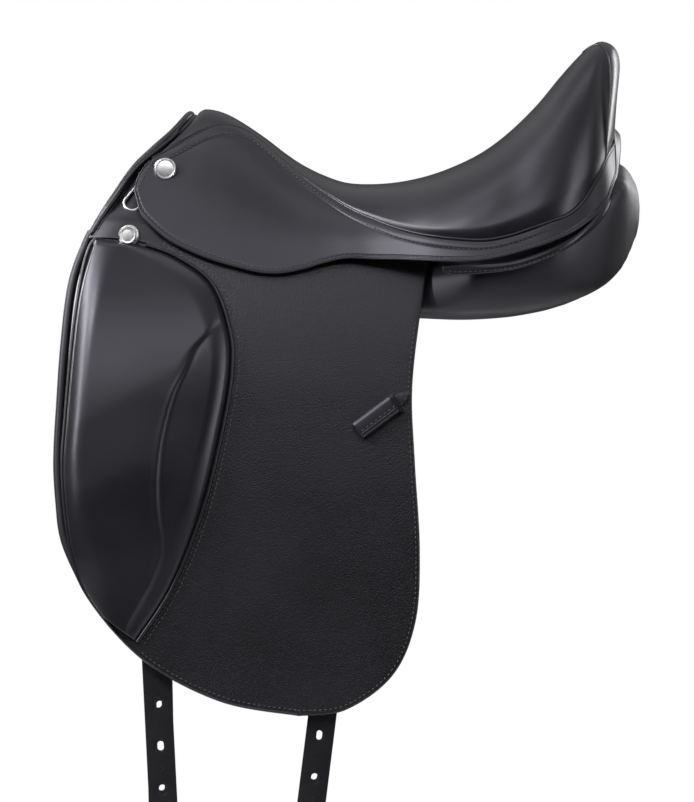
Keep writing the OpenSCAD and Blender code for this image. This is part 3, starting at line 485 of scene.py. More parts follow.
def metalFinish(name, colour, roughness, scratch):
    material, tree, bsdf = newMaterial(name)
    place = objectPlace(tree)
    mask = groupNode(tree, wearGroup, place, Scale=60.0)["Mask"]
    feed(tree, bsdf, {"Base Color": mixColour(tree, mask, [k * 0.92 for k in colour], colour),
                      "Roughness": mapMask(tree, mask, *roughness), "Metallic": 1.0})
    lines = addNode(tree, "ShaderNodeTexNoise", {"Vector": place, "Scale": 3000})
    addBump(tree, bsdf, lines.outputs["Fac"], scratch * mm)
    return material


def softFinish(name, dark, light, grain, depth):  # foam, wool, woven web and moulded plastic
    material, tree, bsdf = newMaterial(name)
    weave = groupNode(tree, grainGroup, objectPlace(tree), Scale=grain, Pebble=0.9, Crease=0.4)
    # painted shade: the colour runs from light on the raised cells to dark in the valleys between them
    feed(tree, bsdf, {"Base Color": mixColour(tree, weave["Valley"], light, dark), "Roughness": 0.9})
    addBump(tree, bsdf, weave["Height"], depth * mm)
    return material


finish["nickel"] = metalFinish("nickelPlate", (0.62, 0.62, 0.63), (0.26, 0.34), 0.004)
finish["steel"] = metalFinish("forgedSteel", (0.52, 0.52, 0.53), (0.28, 0.40), 0.02)
finish["foam"] = softFinish("seatFoamRubber", (0.45, 0.40, 0.24), (0.66, 0.60, 0.40), 700, 0.4)
finish["webbing"] = softFinish("wovenWeb", (0.30, 0.27, 0.20), (0.55, 0.51, 0.42), 900, 0.3)
finish["wool"] = softFinish("woolFlock", (0.50, 0.48, 0.42), (0.75, 0.73, 0.67), 400, 0.8)
finish["plastic"] = softFinish("treeShellPlastic", (0.012, 0.012, 0.013), (0.02, 0.02, 0.022), 1200,
                               0.05)
finish["thread"] = leatherFinish("sewingThread", {
    "grain": 4000, "pebble": 0.6, "crease": 0.2, "depth": 0.05, "cloud": 30,
    "dark": (0.044, 0.044, 0.047), "light": (0.068, 0.068, 0.072),
    "roughness": (0.50, 0.60), "valley": 0.05, "specular": 0.4})
print("finishes made:", len(finish))


# Placing pieces on the frame

hinges = {j["name"]: j for j in frame["joints"]}


def settle(piece, body, nodes=()):
    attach(piece, body)
    if nodes:
        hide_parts(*nodes)
    return piece


def bendZone(hinge, reach):  # the two points between which leather bends at a hinge
    joint = hinges[hinge]
    axis = Vector(joint["axis"])
    down = Vector((0, 0, -1)) - axis * Vector((0, 0, -1)).dot(axis)
    down.normalize()
    middle = Vector(joint["pos_m"])
    return middle - down * reach * mm, middle + down * reach * mm


def settleBent(piece, kind, body, hinge, reach, nodes=()):
    start, end = bendZone(hinge, reach)
    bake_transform(piece)
    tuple(start)
    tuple(end)
    if nodes:
        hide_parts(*nodes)
    return piece


# Stitches and piping, by Geometry Nodes along lines

def startRun(name, sizes, spacing):  # a tree that sets points along lines, one spacing apart
    tree, inputs, outputs = socketGroup(
        "GeometryNodeTree", name, [("Geometry", "NodeSocketGeometry", None)] + sizes,
        [("Geometry", "NodeSocketGeometry")])
    line = addNode(tree, "GeometryNodeMeshToCurve", {"Mesh": inputs["Geometry"]})
    spaced = addNode(tree, "GeometryNodeResampleCurve", {
        "Curve": line.outputs["Curve"], "Length": inputs[spacing]}, mode="LENGTH")
    return tree, inputs, outputs, spaced.outputs["Curve"]


def lineValue(tree, name, kind):  # a value that the points of a line carry
    node = addNode(tree, "GeometryNodeInputNamedAttribute", {"Name": name}, data_type=kind)
    return node.outputs["Attribute"]


def endRun(tree, geometry, material, outputs):
    real = addNode(tree, "GeometryNodeRealizeInstances", {"Geometry": geometry})
    soft = addNode(tree, "GeometryNodeSetShadeSmooth", {"Geometry": real.outputs["Geometry"]})
    dyed = addNode(tree, "GeometryNodeSetMaterial", {
        "Geometry": soft.outputs["Geometry"], "Material": material})
    feed(tree, outputs, {"Geometry": dyed.outputs["Geometry"]})
    return tree


def buildStitchTree():
    tree, inputs, outputs, spaced = startRun("stitchRow", [
        ("Pitch", "NodeSocketFloat", 0.0042), ("Size", "NodeSocketVector", (0.0015, 0.0005, 0.0004)),
        ("Thread", "NodeSocketMaterial", None)], "Pitch")
    tangent = addNode(tree, "GeometryNodeInputTangent").outputs["Tangent"]
    forward = addNode(tree, "FunctionNodeAlignRotationToVector", {"Vector": tangent}, axis="X")
    upright = addNode(tree, "FunctionNodeAlignRotationToVector", {
        "Rotation": forward.outputs["Rotation"], "Vector": lineValue(tree, "lean", "FLOAT_VECTOR")},
        axis="Z", pivot_axis="X")
    thread = addNode(tree, "GeometryNodeMeshUVSphere", {"Segments": 8, "Rings": 5, "Radius": 1.0})
    sized = addNode(tree, "GeometryNodeTransform", {
        "Geometry": thread.outputs["Mesh"], "Scale": inputs["Size"]})
    placed = addNode(tree, "GeometryNodeInstanceOnPoints", {
        "Points": spaced, "Instance": sized.outputs["Geometry"], "Rotation": upright.outputs["Rotation"]})
    return endRun(tree, placed.outputs["Instances"], inputs["Thread"], outputs)


def buildPipingTree():
    tree, inputs, outputs, spaced = startRun("pipingRun", [
        ("Radius", "NodeSocketFloat", 0.0015), ("Step", "NodeSocketFloat", 0.003),
        ("Leather", "NodeSocketMaterial", None)], "Step")
    tapered = addNode(tree, "GeometryNodeSetCurveRadius", {
        "Curve": spaced, "Radius": lineValue(tree, "swell", "FLOAT")})
    ring = addNode(tree, "GeometryNodeCurvePrimitiveCircle", {
        "Resolution": 14, "Radius": inputs["Radius"]})
    tube = addNode(tree, "GeometryNodeCurveToMesh", {
        "Curve": tapered.outputs["Curve"], "Profile Curve": ring.outputs["Curve"], "Fill Caps": True})
    return endRun(tree, tube.outputs["Mesh"], inputs["Leather"], outputs)


def runTree(name, tree, lines, attribute, values):  # lines of (points, attribute rows)
    edges, start = [], 0
    for p, _ in lines:
        edges += [(start + i, start + i + 1) for i in range(len(p) - 1)]
        start += len(p)
    mesh = newMesh(name, np.concatenate([p for p, _ in lines]), edges)
    data = np.concatenate([a for _, a in lines]).astype(np.float32)
    kind = "FLOAT_VECTOR" if data.ndim == 2 else "FLOAT"
    layer = mesh.attributes.new(attribute, kind, "POINT")
    layer.data.foreach_set("vector" if data.ndim == 2 else "value", data.ravel())
    piece = linked(name, mesh)
    modifier = piece.modifiers.new("run", "NODES")
    modifier.node_group = tree
    keys = {s.name: s.identifier for s in tree.interface.items_tree if s.in_out == "INPUT"}
    for label, value in values.items():
        modifier[keys[label]] = value
    made = bakedMesh(piece)
    piece.modifiers.clear()
    piece.data = made
    made.name = name
    bpy.data.meshes.remove(mesh)
    return piece


stitchTree = buildStitchTree()
pipingTree = buildPipingTree()
stitching = {"pitch": 4.6, "long": 1.4, "wide": 0.55, "high": 0.5}


def stitches(name, lines):
    size = [stitching[k] * mm for k in ("long", "wide", "high")]
    return runTree(name, stitchTree, lines, "lean", {
        "Pitch": stitching["pitch"] * mm, "Size": size, "Thread": finish["thread"]})


def piping(name, lines, radius, material, taper=2, swell=1.0):  # each line's ends close over a few points
    shaped = []
    for path in lines:
        k = np.arange(len(path))
        gap = np.minimum(k, k[::-1]) / taper
        shaped.append((path, swell * np.sqrt(1 - (1 - np.clip(gap, 0.02, 1)) ** 2)))
    return runTree(name, pipingTree, shaped, "swell", {
        "Radius": radius * mm, "Step": max(1.2, radius) * mm, "Leather": material})


def surfaceLine(at, u, v, sign, lift):  # a line on a leather face, with the way that it faces
    u, v = np.broadcast_arrays(np.asarray(u, float), v)
    e = 2e-3
    p = at(u, v, -lift)
    du = at(np.clip(u + e, 0, 1), v, -lift) - at(np.clip(u - e, 0, 1), v, -lift)
    dv = at(u, np.clip(v + e, 0, 1), -lift) - at(u, np.clip(v - e, 0, 1), -lift)
    n = np.cross(du, dv)
    n /= np.maximum(np.linalg.norm(n, axis=-1, keepdims=True), 1e-9)
    out = at(u, v, -lift - 1) - p
    n *= np.sign((n * out).sum(-1, keepdims=True))
    return p * [1, sign, 1], n * [1, sign, 1]


def acrossShare(at, u, distance, fromEnd=False):  # the share of a row that a distance takes up
    v = np.linspace(0, 1, 41)
    rows = at(np.asarray(u)[:, None], v[None], 0)
    reach = np.concatenate([np.zeros((len(rows), 1)), np.cumsum(
        np.linalg.norm(np.diff(rows, axis=1), axis=-1), axis=1)], axis=1)
    if fromEnd:
        distance = reach[:, -1] - distance
    return np.array([np.interp(k, r, v) for k, r in zip(np.broadcast_to(distance, len(reach)), reach)])


# Seat: leather over foam, first along the arch, then round the cantle

seat = {
    "rows": [[-162, -204], [-157, -192], [-151, -178], [-144, -163], [-135, -148], [-123, -132],
             [-110, -115], [-96, -98], [-79, -80], [-62, -62], [-42, -42], [-22, -22], [2, 2],
             [28, 28], [56, 56], [84, 84], [108, 108], [132, 132], [158, 158], [180, 180],
             [200, 200], [212, 212], [219, 219]],
    "cap": [[0.97, 228], [0.9, 234], [0.75, 237], [0.5, 235], [0.25, 232.5], [0.1, 231], [0, 231]],
    "backZ": 176, "thick": 2.4, "foamDepth": 4.6, "foamThick": 11.4,
    "tuck": 2.4, "frontDip": 2.2,  # how far the leather dips to the seam and at the pommel's front
    "gap": 0.9, "headGap": 1.4, "headRamp": (-130.0, -40.0),  # room for the welt, more at the head
    "foamGap": 11.5, "foamStart": 0.03, "foamSize": (60, 40),
    "sweep": 2.35, "capSweep": 1.5, "tuckRamp": (0.94, 0.06), "size": (120, 90),
}
tailSeam = smoothCurve([[q, top] for q, top, _ in tail])
capShare = tail[3][0]  # half width of the cantle's back, as a share


def seatSurface(gap, tuck):
    rows, cap = seat["rows"], seat["cap"]

    def end(x):
        return seamAngle(x) - turnAt(x, gap + seat["headGap"] * ramp(x, *seat["headRamp"]))

    def rowAt(i, v, d):
        side = 2 * v - 1
        q = np.abs(side)
        d = d + tuck * ramp(q, *seat["tuckRamp"])
        if i < len(rows):
            d = d + seat["frontDip"] * (i == 0)
            top, low = (np.full(q.shape, float(k)) for k in rows[i])
            a = end(low) * q
            p = arch(mix(top, low, (a / seamAngle(low)) ** seat["sweep"]), a, d)
            return p * np.stack([np.ones(q.shape), np.sign(side), np.ones(q.shape)], -1)
        share, back = cap[i - len(rows)]
        x = np.full(q.shape, float(rows[-1][0]))
        a = end(x)
        p, t, b = arch(x, a * q, d), arch(x, 0 * q, d)[..., 2], arch(x, a, d)[..., 2]
        low = tailSeam(share * capShare) + gap
        high = mix(seat["backZ"], t, share)
        k = q ** seat["capSweep"]
        inset = d * ramp(share, 1, -0.25) * mix(1, 1 - share, k)
        return np.stack([mix(back, rimX(share * capShare, 0), k) - inset, np.sign(side) * share * p[..., 1],
                         mix(low, high, (p[..., 2] - b) / (t - b))], -1)
    return rowSurface(rowAt, len(rows) + len(cap))


seatAt = seatSurface(seat["gap"], seat["tuck"])
seatCover = leatherSheet("seatCover", seatAt, seat["size"], seat["thick"], 0, 1, finish["smooth"])
settle(seatCover, "saddle", ["seat_cover"])
foamSurface = seatSurface(seat["foamGap"], 0)


def foamAt(u, v, d):  # ends behind the leather's front edge
    return foamSurface(mix(seat["foamStart"], 1, np.asarray(u, float)), v, d)


seatFoam = leatherSheet("seatFoam", foamAt, seat["foamSize"], seat["foamThick"], seat["foamDepth"], 1,
                        finish["foam"])
settle(seatFoam, "saddle", ["seat_foam"])

cantlePiping = {"rows": [20.2, 20.9, 21.6, 22.2, 22.7, 23.0, 23.05, 22.9, 22.5, 22.0],
                "across": [0, 0.1, 0.2, 0.3, 0.42, 0.55, 0.68, 0.8, 0.92, 1.0], "radius": 0.9}
shareAlong = np.linspace(0, 1, 60)
pipeRow = smoothPath([[k] for k in cantlePiping["rows"]])(shareAlong)[:, 0]
pipeAcross = smoothPath([[k] for k in cantlePiping["across"]])(shareAlong)[:, 0]
pipeU = np.interp(pipeRow, np.arange(len(seatAt.places)), seatAt.places)
half = seatAt(pipeU, 0.5 + pipeAcross / 2, 0.1)
rimLine = np.concatenate([half[::-1], half[1:] * [1, -1, 1]])
cantleTrim = piping("cantlePiping", [rimLine], cantlePiping["radius"], finish["welt"])
settle(cantleTrim, "saddle")

seatWelt = {"radius": 1.35, "depth": 0.35, "rearOut": 0.3, "run": (-204, 132, 130)}
weltX = np.linspace(*seatWelt["run"])
weltSide = arch(weltX, seamAngle(weltX), seatWelt["depth"])
weltShare = np.linspace(tail[-1][0], 0, 60)[1:]
weltRear = np.stack([f(weltShare, seatWelt["rearOut"]) for f in (rimX, rimY)] + [tailSeam(weltShare)], -1)
weltHalf = np.concatenate([weltSide, weltRear])
weltPath = np.concatenate([weltHalf * [1, -1, 1], weltHalf[-2::-1]])
weltPiece = piping("seatWelt", [weltPath], seatWelt["radius"], finish["welt"])
settle(weltPiece, "saddle", ["seat_welt"])
print("seat made")


# Skirts: one leather a side

skirt = {
    "rows": [[-204, -219], [-198, -217.5], [-190, -213], [-178, -203], [-163, -187], [-148, -168],
             [-132, -147], [-115, -124], [-98, -103], [-80, -83], [-62, -63], [-42, -42], [-22, -22],
             [2, 2], [28, 28], [56, 56], [84, 84], [108, 108], [132, 132]],
    "lobe": [[-219, 115.5], [-213, 96], [-200, 81], [-183, 68], [-157, 56], [-142, 50.5],
             [-120, 44.5], [-97, 40], [-74, 41], [-50, 47.5], [-27, 53.5], [-8, 53], [20, 52.5],
             [50, 51], [82, 50], [108, 52], [134, 58]],
    "thick": 3.4, "depth": -1.0, "seamGap": 1.3, "bow": 16.0, "bowRamp": (-176.0, -20.0),
    "size": (190, 86), "bend": 14.0, "groove": 0.4, "grooveWidth": 0.9,
    "stripStart": (0.015, 0.04), "stripEnd": (0.69, -0.05), "stripRise": 0.9,
    # on the way round: distance of the stitches from the edge, how far the lower edge stands out,
    # width of the strip sewn under the seam, radius of the edge's roll
    "edgeStitch": [[0, 5.6], [0.2, 4.6], [0.35, 3.4], [1, 3.2]],
    "flare": [[0, 0], [0.3, 0], [0.45, 4], [0.6, 6], [0.76, 5.5], [0.9, 2], [1, 1]],
    "strip": [[0, 15], [0.1, 15], [0.25, 13], [0.45, 9.5], [0.7, 7]],
    "edgeRoll": [[0, 2.0], [0.12, 1.9], [0.23, 1.0], [1, 0.9]], "rollDepth": -0.5,
    "lowRun": (0.006, 0.985, 300), "topRun": (0.035, 0.66, 240), "frontShare": 0.0075, "stitchLift": 1.1,
}
lobeEdge = smoothCurve(skirt["lobe"])
stripWidth = smoothCurve(skirt["strip"])
skirtFlare = smoothCurve(skirt["flare"])
edgeStitch = smoothCurve(skirt["edgeStitch"])


def skirtRow(i, v, d):
    rows = skirt["rows"]
    if i < len(rows):
        seamX, lowX = rows[i]
        e = np.full(v.shape, float(seamX))
        top = arch(e, seamAngle(e) + turnAt(e, skirt["seamGap"]), 0)
        bow = -skirt["bow"] * v * (1 - v) * ramp(seamX, *skirt["bowRamp"])
        x = mix(top[..., 0], lowX, v) + bow
        return under(x, mix(top[..., 2], lobeEdge(lowX), v), d)
    q, top, low = tail[len(tail) - 1 - (i - len(rows))]
    out = 0.5 + 2 * v - d
    y = np.maximum(rimY(q, out), 0.15)
    return np.stack([rimX(q, out), y, mix(top - skirt["seamGap"], low, v)], -1)


skirtRows = rowSurface(skirtRow, len(skirt["rows"]) + len(tail))
skirtU = np.linspace(0, 1, 60)


def skirtPlain(u, v, d):
    return skirtRows(u, v, d - skirtFlare(u) * v)


skirtSteps = np.diff(skirtPlain(skirtU[:, None], np.linspace(0, 1, 21)[None], 0), axis=1)
skirtReach = np.linalg.norm(skirtSteps, axis=-1).sum(1)


def skirtAt(u, v, d):  # the strip sewn down under the seam, and the grooves that stitches pull
    u, v, d = np.broadcast_arrays(np.asarray(u, float), v, d)
    length = np.interp(u, skirtU, skirtReach)
    s = v * length
    strip = ramp(u, *skirt["stripStart"]) * ramp(u, *skirt["stripEnd"])
    wide = stripWidth(u)
    puff = np.sin(math.pi * np.clip(s / wide, 0, 1)) ** 0.8
    hollow = [np.exp(-(k / skirt["grooveWidth"]) ** 2) for k in (s - wide, length - s - edgeStitch(u))]
    rise = strip * (skirt["stripRise"] * puff - skirt["groove"] * hollow[0])
    rise = rise - skirt["groove"] * hollow[1]
    return skirtPlain(u, v, d - rise)


for side, sign in sides:
    hinge = (side + "_skirt_lobe", side + "_skirt_lift", skirt["bend"])
    piece = leatherSheet(side + "Skirt", skirtAt, skirt["size"], skirt["thick"], skirt["depth"], sign,
                         finish["skirt"])
    settleBent(piece, "skirt", *hinge, [side + "_skirt", side + "_skirt_lobe"])
    uLow, uTop = np.linspace(*skirt["lowRun"]), np.linspace(*skirt["topRun"])
    vFront = np.linspace(acrossShare(skirtAt, [0.0], 6)[0], 0.9, 40)
    rows = [(uLow, acrossShare(skirtAt, uLow, edgeStitch(uLow), True)),
            (np.full(40, skirt["frontShare"]), vFront),
            (uTop, acrossShare(skirtAt, uTop, stripWidth(uTop)))]
    sewn = stitches(side + "SkirtStitches",
                    [surfaceLine(skirtAt, u, v, sign, skirt["stitchLift"]) for u, v in rows])
    settleBent(sewn, "thread", *hinge)
    down, along = np.linspace(0.06, 1, 60), np.linspace(0, 0.985, 260)[1:]
    rim = np.concatenate([skirtPlain(0 * down, down, skirt["rollDepth"]),
                          skirtPlain(along, 0 * along + 1, skirt["rollDepth"])])
    travel = np.concatenate([[0], np.cumsum(np.linalg.norm(np.diff(rim, axis=0), axis=1))])
    radii = smoothCurve(skirt["edgeRoll"])(travel / travel[-1])
    edging = piping(side + "SkirtEdge", [rim * [1, sign, 1]], 1.0, finish["smooth"], taper=4, swell=radii)
    settleBent(edging, "smooth", *hinge)
print("skirts made")


# Flaps, with the sweat flaps behind them

flap = {
    "front": [[-232, 80], [-259, 71], [-273, 14], [-283, -96], [-285, -150], [-277, -215],
              [-259, -261], [-208, -317], [-138, -354], [-66, -367]],
    "rear": [[56, 60], [45, -5], [38.2, -70], [40.6, -135], [45, -215], [41, -281], [20, -330],
             [-23, -361.5], [-66, -367]],
    "thick": 4.4, "size": (60, 150), "bend": 14.0, "rearStitch": 3.6, "lowStitch": 5.2,
    "belly": 3.6, "bellyRamp": (-25.0, -140.0),
    # rolled edge: run along the front outline, distance inside it, height and radius
    "beads": {"FlapBead": ((0.12, 0.72, 150), 2.0, 0.3, 1.9),
              "FlapLowBead": ((0.72, 0.995, 90), 1.6, 0.2, 1.2)},
}


def flapBelly(z):  # how far the lower flap stands out from the tree's side
    return flap["belly"] * ramp(np.asarray(z, float), *flap["bellyRamp"])


def flapLevel(x, z, d):
    return sideAt(z) + flapBelly(z) - form["flapDepth"] - d


flapAt = outlineSurface(flap["front"], flap["rear"], flapLevel)
flapFront, flapRear = smoothPath(flap["front"]), smoothPath(flap["rear"])


def outlineStitch(path, shares, turn, distance):  # a line inside an outline, on the flap
    p = path(shares)
    e = np.gradient(p, axis=0)
    n = np.stack([-e[:, 1], e[:, 0]], -1) * turn
    p = p + distance * n / np.linalg.norm(n, axis=1, keepdims=True)
    return flapPoints(p)


def flapPoints(p, lift=0.1):  # places on the flap's outer face, with the way that it faces
    slope = (flapLevel(0, p[:, 1] + 1, 0) - flapLevel(0, p[:, 1] - 1, 0)) / 2
    n = np.stack([0 * slope, 0 * slope + 1, -slope], -1)
    n /= np.linalg.norm(n, axis=1, keepdims=True)
    return np.stack([p[:, 0], flapLevel(p[:, 0], p[:, 1], -lift), p[:, 1]], -1), n


def mirrored(line, sign):
    return line[0] * [1, sign, 1], line[1] * [1, sign, 1]


sweat = {
    "front": [[72, 33, -23, -78, -133, -170, -206, -230], [[-250, -257], [-205, -300], [-140, -332],
              [-80, -342]]],
    "rear": [[28, 33], [28, -5], [28, -50], [28, -95], [28, -140], [28, -175], [28, -205],
             [28, -240], [20, -290], [5, -315], [-30, -336], [-80, -342]],
    "thick": 3.4, "depth": 0.3, "size": (40, 110), "roll": 4.4, "rollRun": (78, -248, 120), "behind": 9.4,
}
sweatFront = [[frontX(z) + sweat["behind"], z] for z in sweat["front"][0]] + sweat["front"][1]


def sweatLevel(x, z, d):
    return sideAt(z) - form["sweatDepth"] - d


sweatAt = outlineSurface(sweatFront, sweat["rear"], sweatLevel)
rollZ = np.linspace(*sweat["rollRun"])
rollPath = np.stack([frontX(rollZ) + sweat["roll"] - 1.0, sweatLevel(0, rollZ, 2), rollZ], -1)

block = {
    "rear": [[-213, 66.5], [-181, 54.5], [-148, 30], [-132.5, -10], [-129.5, -45], [-137, -96],
             [-156, -176], [-184, -248], [-215.5, -297]],
    "front": [[-258.5, 73.5], [-273, 14], [-283, -96], [-285, -150], [-277, -215], [-259, -261],
              [-208, -316], [-138, -352], [-66, -365]],
    "crease": [[0, 1.2], [0.31, 1.05], [0.362, 0.905], [0.382, 0.81], [0.422, 0.74], [0.482, 0.66],
               [0.572, 0.61], [0.64, 0.598], [0.7, 0.618], [0.75, 0.67], [0.798, 0.75], [0.842, 0.772],
               [0.905, 0.738], [1, 0.68]],
    "height": 34.0, "rearShare": 0.42,
    "frontRound": (3.0, 24.0, 0.52), "rearRound": (5.5, 22.0, 0.42), "topRound": (3.0, 15.0, 0.35),
    "topShare": 0.36, "topRamp": (0, 0.42), "lowLoss": 0.65, "lowRamp": (0.62, 0.38), "step": 0.08,
    "foldRamp": (0.3, 0.05), "foldWidth": 6.0, "ridgeRamp": (0.38, 0.1), "ridgeWidth": 3.2, "plainEdge": 20.0,
    "length": 380.0, "frontEnd": 0.655, "drop": -1.2, "fold": 0.9, "ridge": 0.8, "lip": 3.4,
    "size": (120, 170), "weltRadius": 1.7, "seamStitch": (4.9, 8.2),
}
blockFront, blockRear = smoothPath(block["front"]), smoothPath(block["rear"])
creaseAt = smoothCurve(block["crease"])


def roundEdge(s, r):
    return np.sqrt(np.clip(1 - (1 - np.clip(s / r, 0, 1)) ** 2, 0, 1))


def shoulder(s, near, wide, share):  # a steep edge, then a soft shoulder
    return mix(1 - (1 - np.clip(s / wide, 0, 1)) ** 2, roundEdge(s, near), share)


def blockRise(u, v, width):  # a face with rounded edges; its crease is a fold above and a ridge below
    off = (u - creaseAt(v)) * width
    face = block["height"] * mix(1, block["rearShare"], u) * (1 - block["step"] * ease(off / 9 + 0.3))
    face = face * shoulder(u * width, *block["frontRound"]) * shoulder((1 - u) * width, *block["rearRound"])
    face = face * mix(block["topShare"], 1, ramp(v, *block["topRamp"]))
    face = face * (1 - block["lowLoss"] * ramp(v, *block["lowRamp"]))
    upper = 1 - ramp(v, *block["ridgeRamp"])
    inside = ease((1 - u) * width / block["plainEdge"]) * ease(u * width / block["plainEdge"])
    fold = -block["fold"] * upper * ramp(v, *block["foldRamp"]) * np.exp(-(off / block["foldWidth"]) ** 2)
    ridge = block["ridge"] * (1 - upper) * np.exp(-(off / block["ridgeWidth"]) ** 2)
    return (face + inside * (fold + ridge)) * shoulder(v * block["length"], *block["topRound"])


def blockAt(u, v, k):  # k is 1 on the upper face and 0 on the flap
    u, v = np.broadcast_arrays(np.asarray(u, float), v)
    a = blockFront(v * block["frontEnd"]) + [block["lip"], block["drop"]]
    b = blockRear(v) + [0, block["drop"]]
    p = mix(a, b, u[..., None])
    lift = 0.3 + k * (1.0 + blockRise(u, v, np.linalg.norm(b - a, axis=-1)))
    return np.stack([p[..., 0], flapLevel(p[..., 0], p[..., 1], -lift), p[..., 1]], -1)


blockV = np.linspace(0, 1, block["size"][1])
blockU = 0.5 - 0.5 * np.cos(np.linspace(0, math.pi, block["size"][0]))
edge = blockRear(blockV) + [0, block["drop"]]
away = np.gradient(edge, axis=0)
away = np.stack([-away[:, 1], away[:, 0]], -1) / np.linalg.norm(away, axis=1, keepdims=True)
weltLine, _ = flapPoints((edge + away * (block["weltRadius"] + 0.3))[4:], block["weltRadius"] * 1.5)
lowering = mix(flap["rearStitch"], flap["lowStitch"], np.linspace(0, 1, 100))[:, None]
flapRows = [outlineStitch(flapRear, np.linspace(0.13, 0.74, 240), -1, flap["rearStitch"]),
            outlineStitch(flapRear, np.linspace(0.742, 0.995, 100), -1, lowering),
            outlineStitch(flapFront, np.linspace(0.77, 0.99, 110), 1, flap["lowStitch"])]
flapRows += [flapPoints((edge + away * distance)[6:-2]) for distance in block["seamStitch"]]

for side, sign in sides:
    flapBody = side + "_flap"
    hinge = (flapBody, side + "_flap_lift", flap["bend"])
    piece = leatherSheet(side + "Flap", flapAt, flap["size"], flap["thick"], 0, sign, finish["grained"])
    settleBent(piece, "grained", *hinge, [side + "_flap", side + "_flap_top"])
    sweatPiece = leatherSheet(side + "SweatFlap", sweatAt, sweat["size"], sweat["thick"], sweat["depth"],
                              sign, finish["panel"])
    settle(sweatPiece, "saddle", [side + "_sweat_flap"])
    rollPiece = piping(side + "EdgeRoll", [rollPath * [1, sign, 1]], sweat["roll"], finish["panel"], taper=4)
    settle(rollPiece, "saddle", [side + "_edge_roll"])
    top, low = (blockAt(blockU[None], blockV[:, None], k) for k in (1.0, 0.0))
    pad = closedSheet(side + "KneeBlock", top, low, sign, finish["smooth"])
    settle(pad, flapBody, [side + "_knee_block"])
    trim = piping(side + "BlockWelt", [weltLine * [1, sign, 1]], block["weltRadius"], finish["welt"])
    settle(trim, flapBody, [side + "_block_welt"])
    for label, (run, inset, lift, radius) in flap["beads"].items():
        bead = outlineStitch(flapFront, np.linspace(*run), 1, inset)[0] + [0, lift, 0]
        settle(piping(side + label, [bead * [1, sign, 1]], radius, finish["smooth"]), flapBody)
    sewn = stitches(side + "FlapStitches", [mirrored(r, sign) for r in flapRows])
    settleBent(sewn, "thread", *hinge)
print("flaps made")


# Head: the rolled facing round its front and the leather behind it

facing = {"rollRadius": 3.9, "face": 4.0, "span": 87.0, "back": 2.2, "bulge": 2.5, "topDepth": 3.0,
          "rollDepth": (3.6, 14.5), "footDepth": 6.5, "backDepth": (3.2, -1.5), "backStep": 6.4}
faceAngle = np.radians(np.linspace(-facing["span"], facing["span"], 121))
faceBend = np.abs(faceAngle) / math.radians(facing["span"])


def facingAt(u, v, d):  # u across the arch, v from the roll inwards
    u, v, d = np.broadcast_arrays(np.asarray(u, float), v, d)
    a = np.radians(mix(-facing["span"], facing["span"], u))
    depth = mix(facing["topDepth"], form["panelDepth"] - 1, v)
    p = arch(np.full(u.shape, form["headX"]), np.abs(a), depth)
    z = arch(np.full(u.shape, form["headX"]), np.abs(a), 0 * u)[..., 2]
    x = frontX(z) + facing["back"] + facing["bulge"] * np.sin(math.pi * v) + d
    return np.stack([x, np.sign(a) * p[..., 1], p[..., 2]], -1)


facePiece = leatherSheet("frontFacing", facingAt, (90, 16), facing["face"], 0, 1, finish["smooth"])
settle(facePiece, "saddle", ["front_facing"])
rollDepth = mix(*facing["rollDepth"], ramp(faceBend, 0.3, 0.4))
rollDepth = rollDepth + facing["footDepth"] * ramp(faceBend, 0.86, 0.14)
backDepth = rollDepth + mix(*facing["backDepth"], ramp(faceBend, 0.5, 0.3))


def headRollPath(depth, step):
    path = arch(np.full(len(faceAngle), form["headX"]), np.abs(faceAngle), depth)
    path[:, 0] = frontX(path[:, 2]) + facing["rollRadius"] + step
    path[:, 1] *= np.sign(faceAngle)
    return path


# The second roll closes the joint with the seat leather
headRolls = [headRollPath(rollDepth, 0.0), headRollPath(backDepth, facing["backStep"])]
headRoll = piping("headRoll", headRolls, facing["rollRadius"], finish["smooth"], taper=3)
settle(headRoll, "saddle")

headCover = {"top": (153, 147), "low": [[-263, 72.5], [-236, 71.5], [-213, 68.5], [-190, 60], [-166, 48]],
             "rearX": -166, "thick": 2.2, "size": (60, 50), "depth": (7.5, 2.8, 6.2), "frontStep": 4.0,
             "frontDip": 2.5, "piping": 0.8, "bend": 10.0}
headLow = smoothCurve(headCover["low"])


def headAt(u, v, d):
    u, v, d = np.broadcast_arrays(np.asarray(u, float), v, d)
    front = frontX(mix(headCover["top"][0], headCover["low"][0][1], v)) + headCover["frontStep"]
    x = mix(front, headCover["rearX"], u)
    deep, proud, tucked = headCover["depth"]
    depth = mix(deep, mix(proud, tucked, ramp(u, 0.5, 0.45)), ramp(v, 0.47, 0.33))
    depth = depth + headCover["frontDip"] * np.clip(1 - u / 0.3, 0, 1) ** 2
    return under(x, mix(mix(*headCover["top"], u), headLow(x), v), depth + d)


for side, sign in sides:
    hinge = (side + "_flap", side + "_flap_lift", headCover["bend"])
    piece = leatherSheet(side + "HeadCover", headAt, headCover["size"], headCover["thick"], 0, sign,
                         finish["smooth"])
    settleBent(piece, "smooth", *hinge, [side + "_head_cover"])
    headLine, _ = surfaceLine(headAt, np.full(60, 0.045), np.linspace(0.05, 0.9, 60), sign, 0.1)
    trim = piping(side + "HeadPiping", [headLine], headCover["piping"], finish["welt"])
    settleBent(trim, "welt", *hinge)
print("head made")


# Panel cushions, their stuffing, the rear facing and the lining of the channel

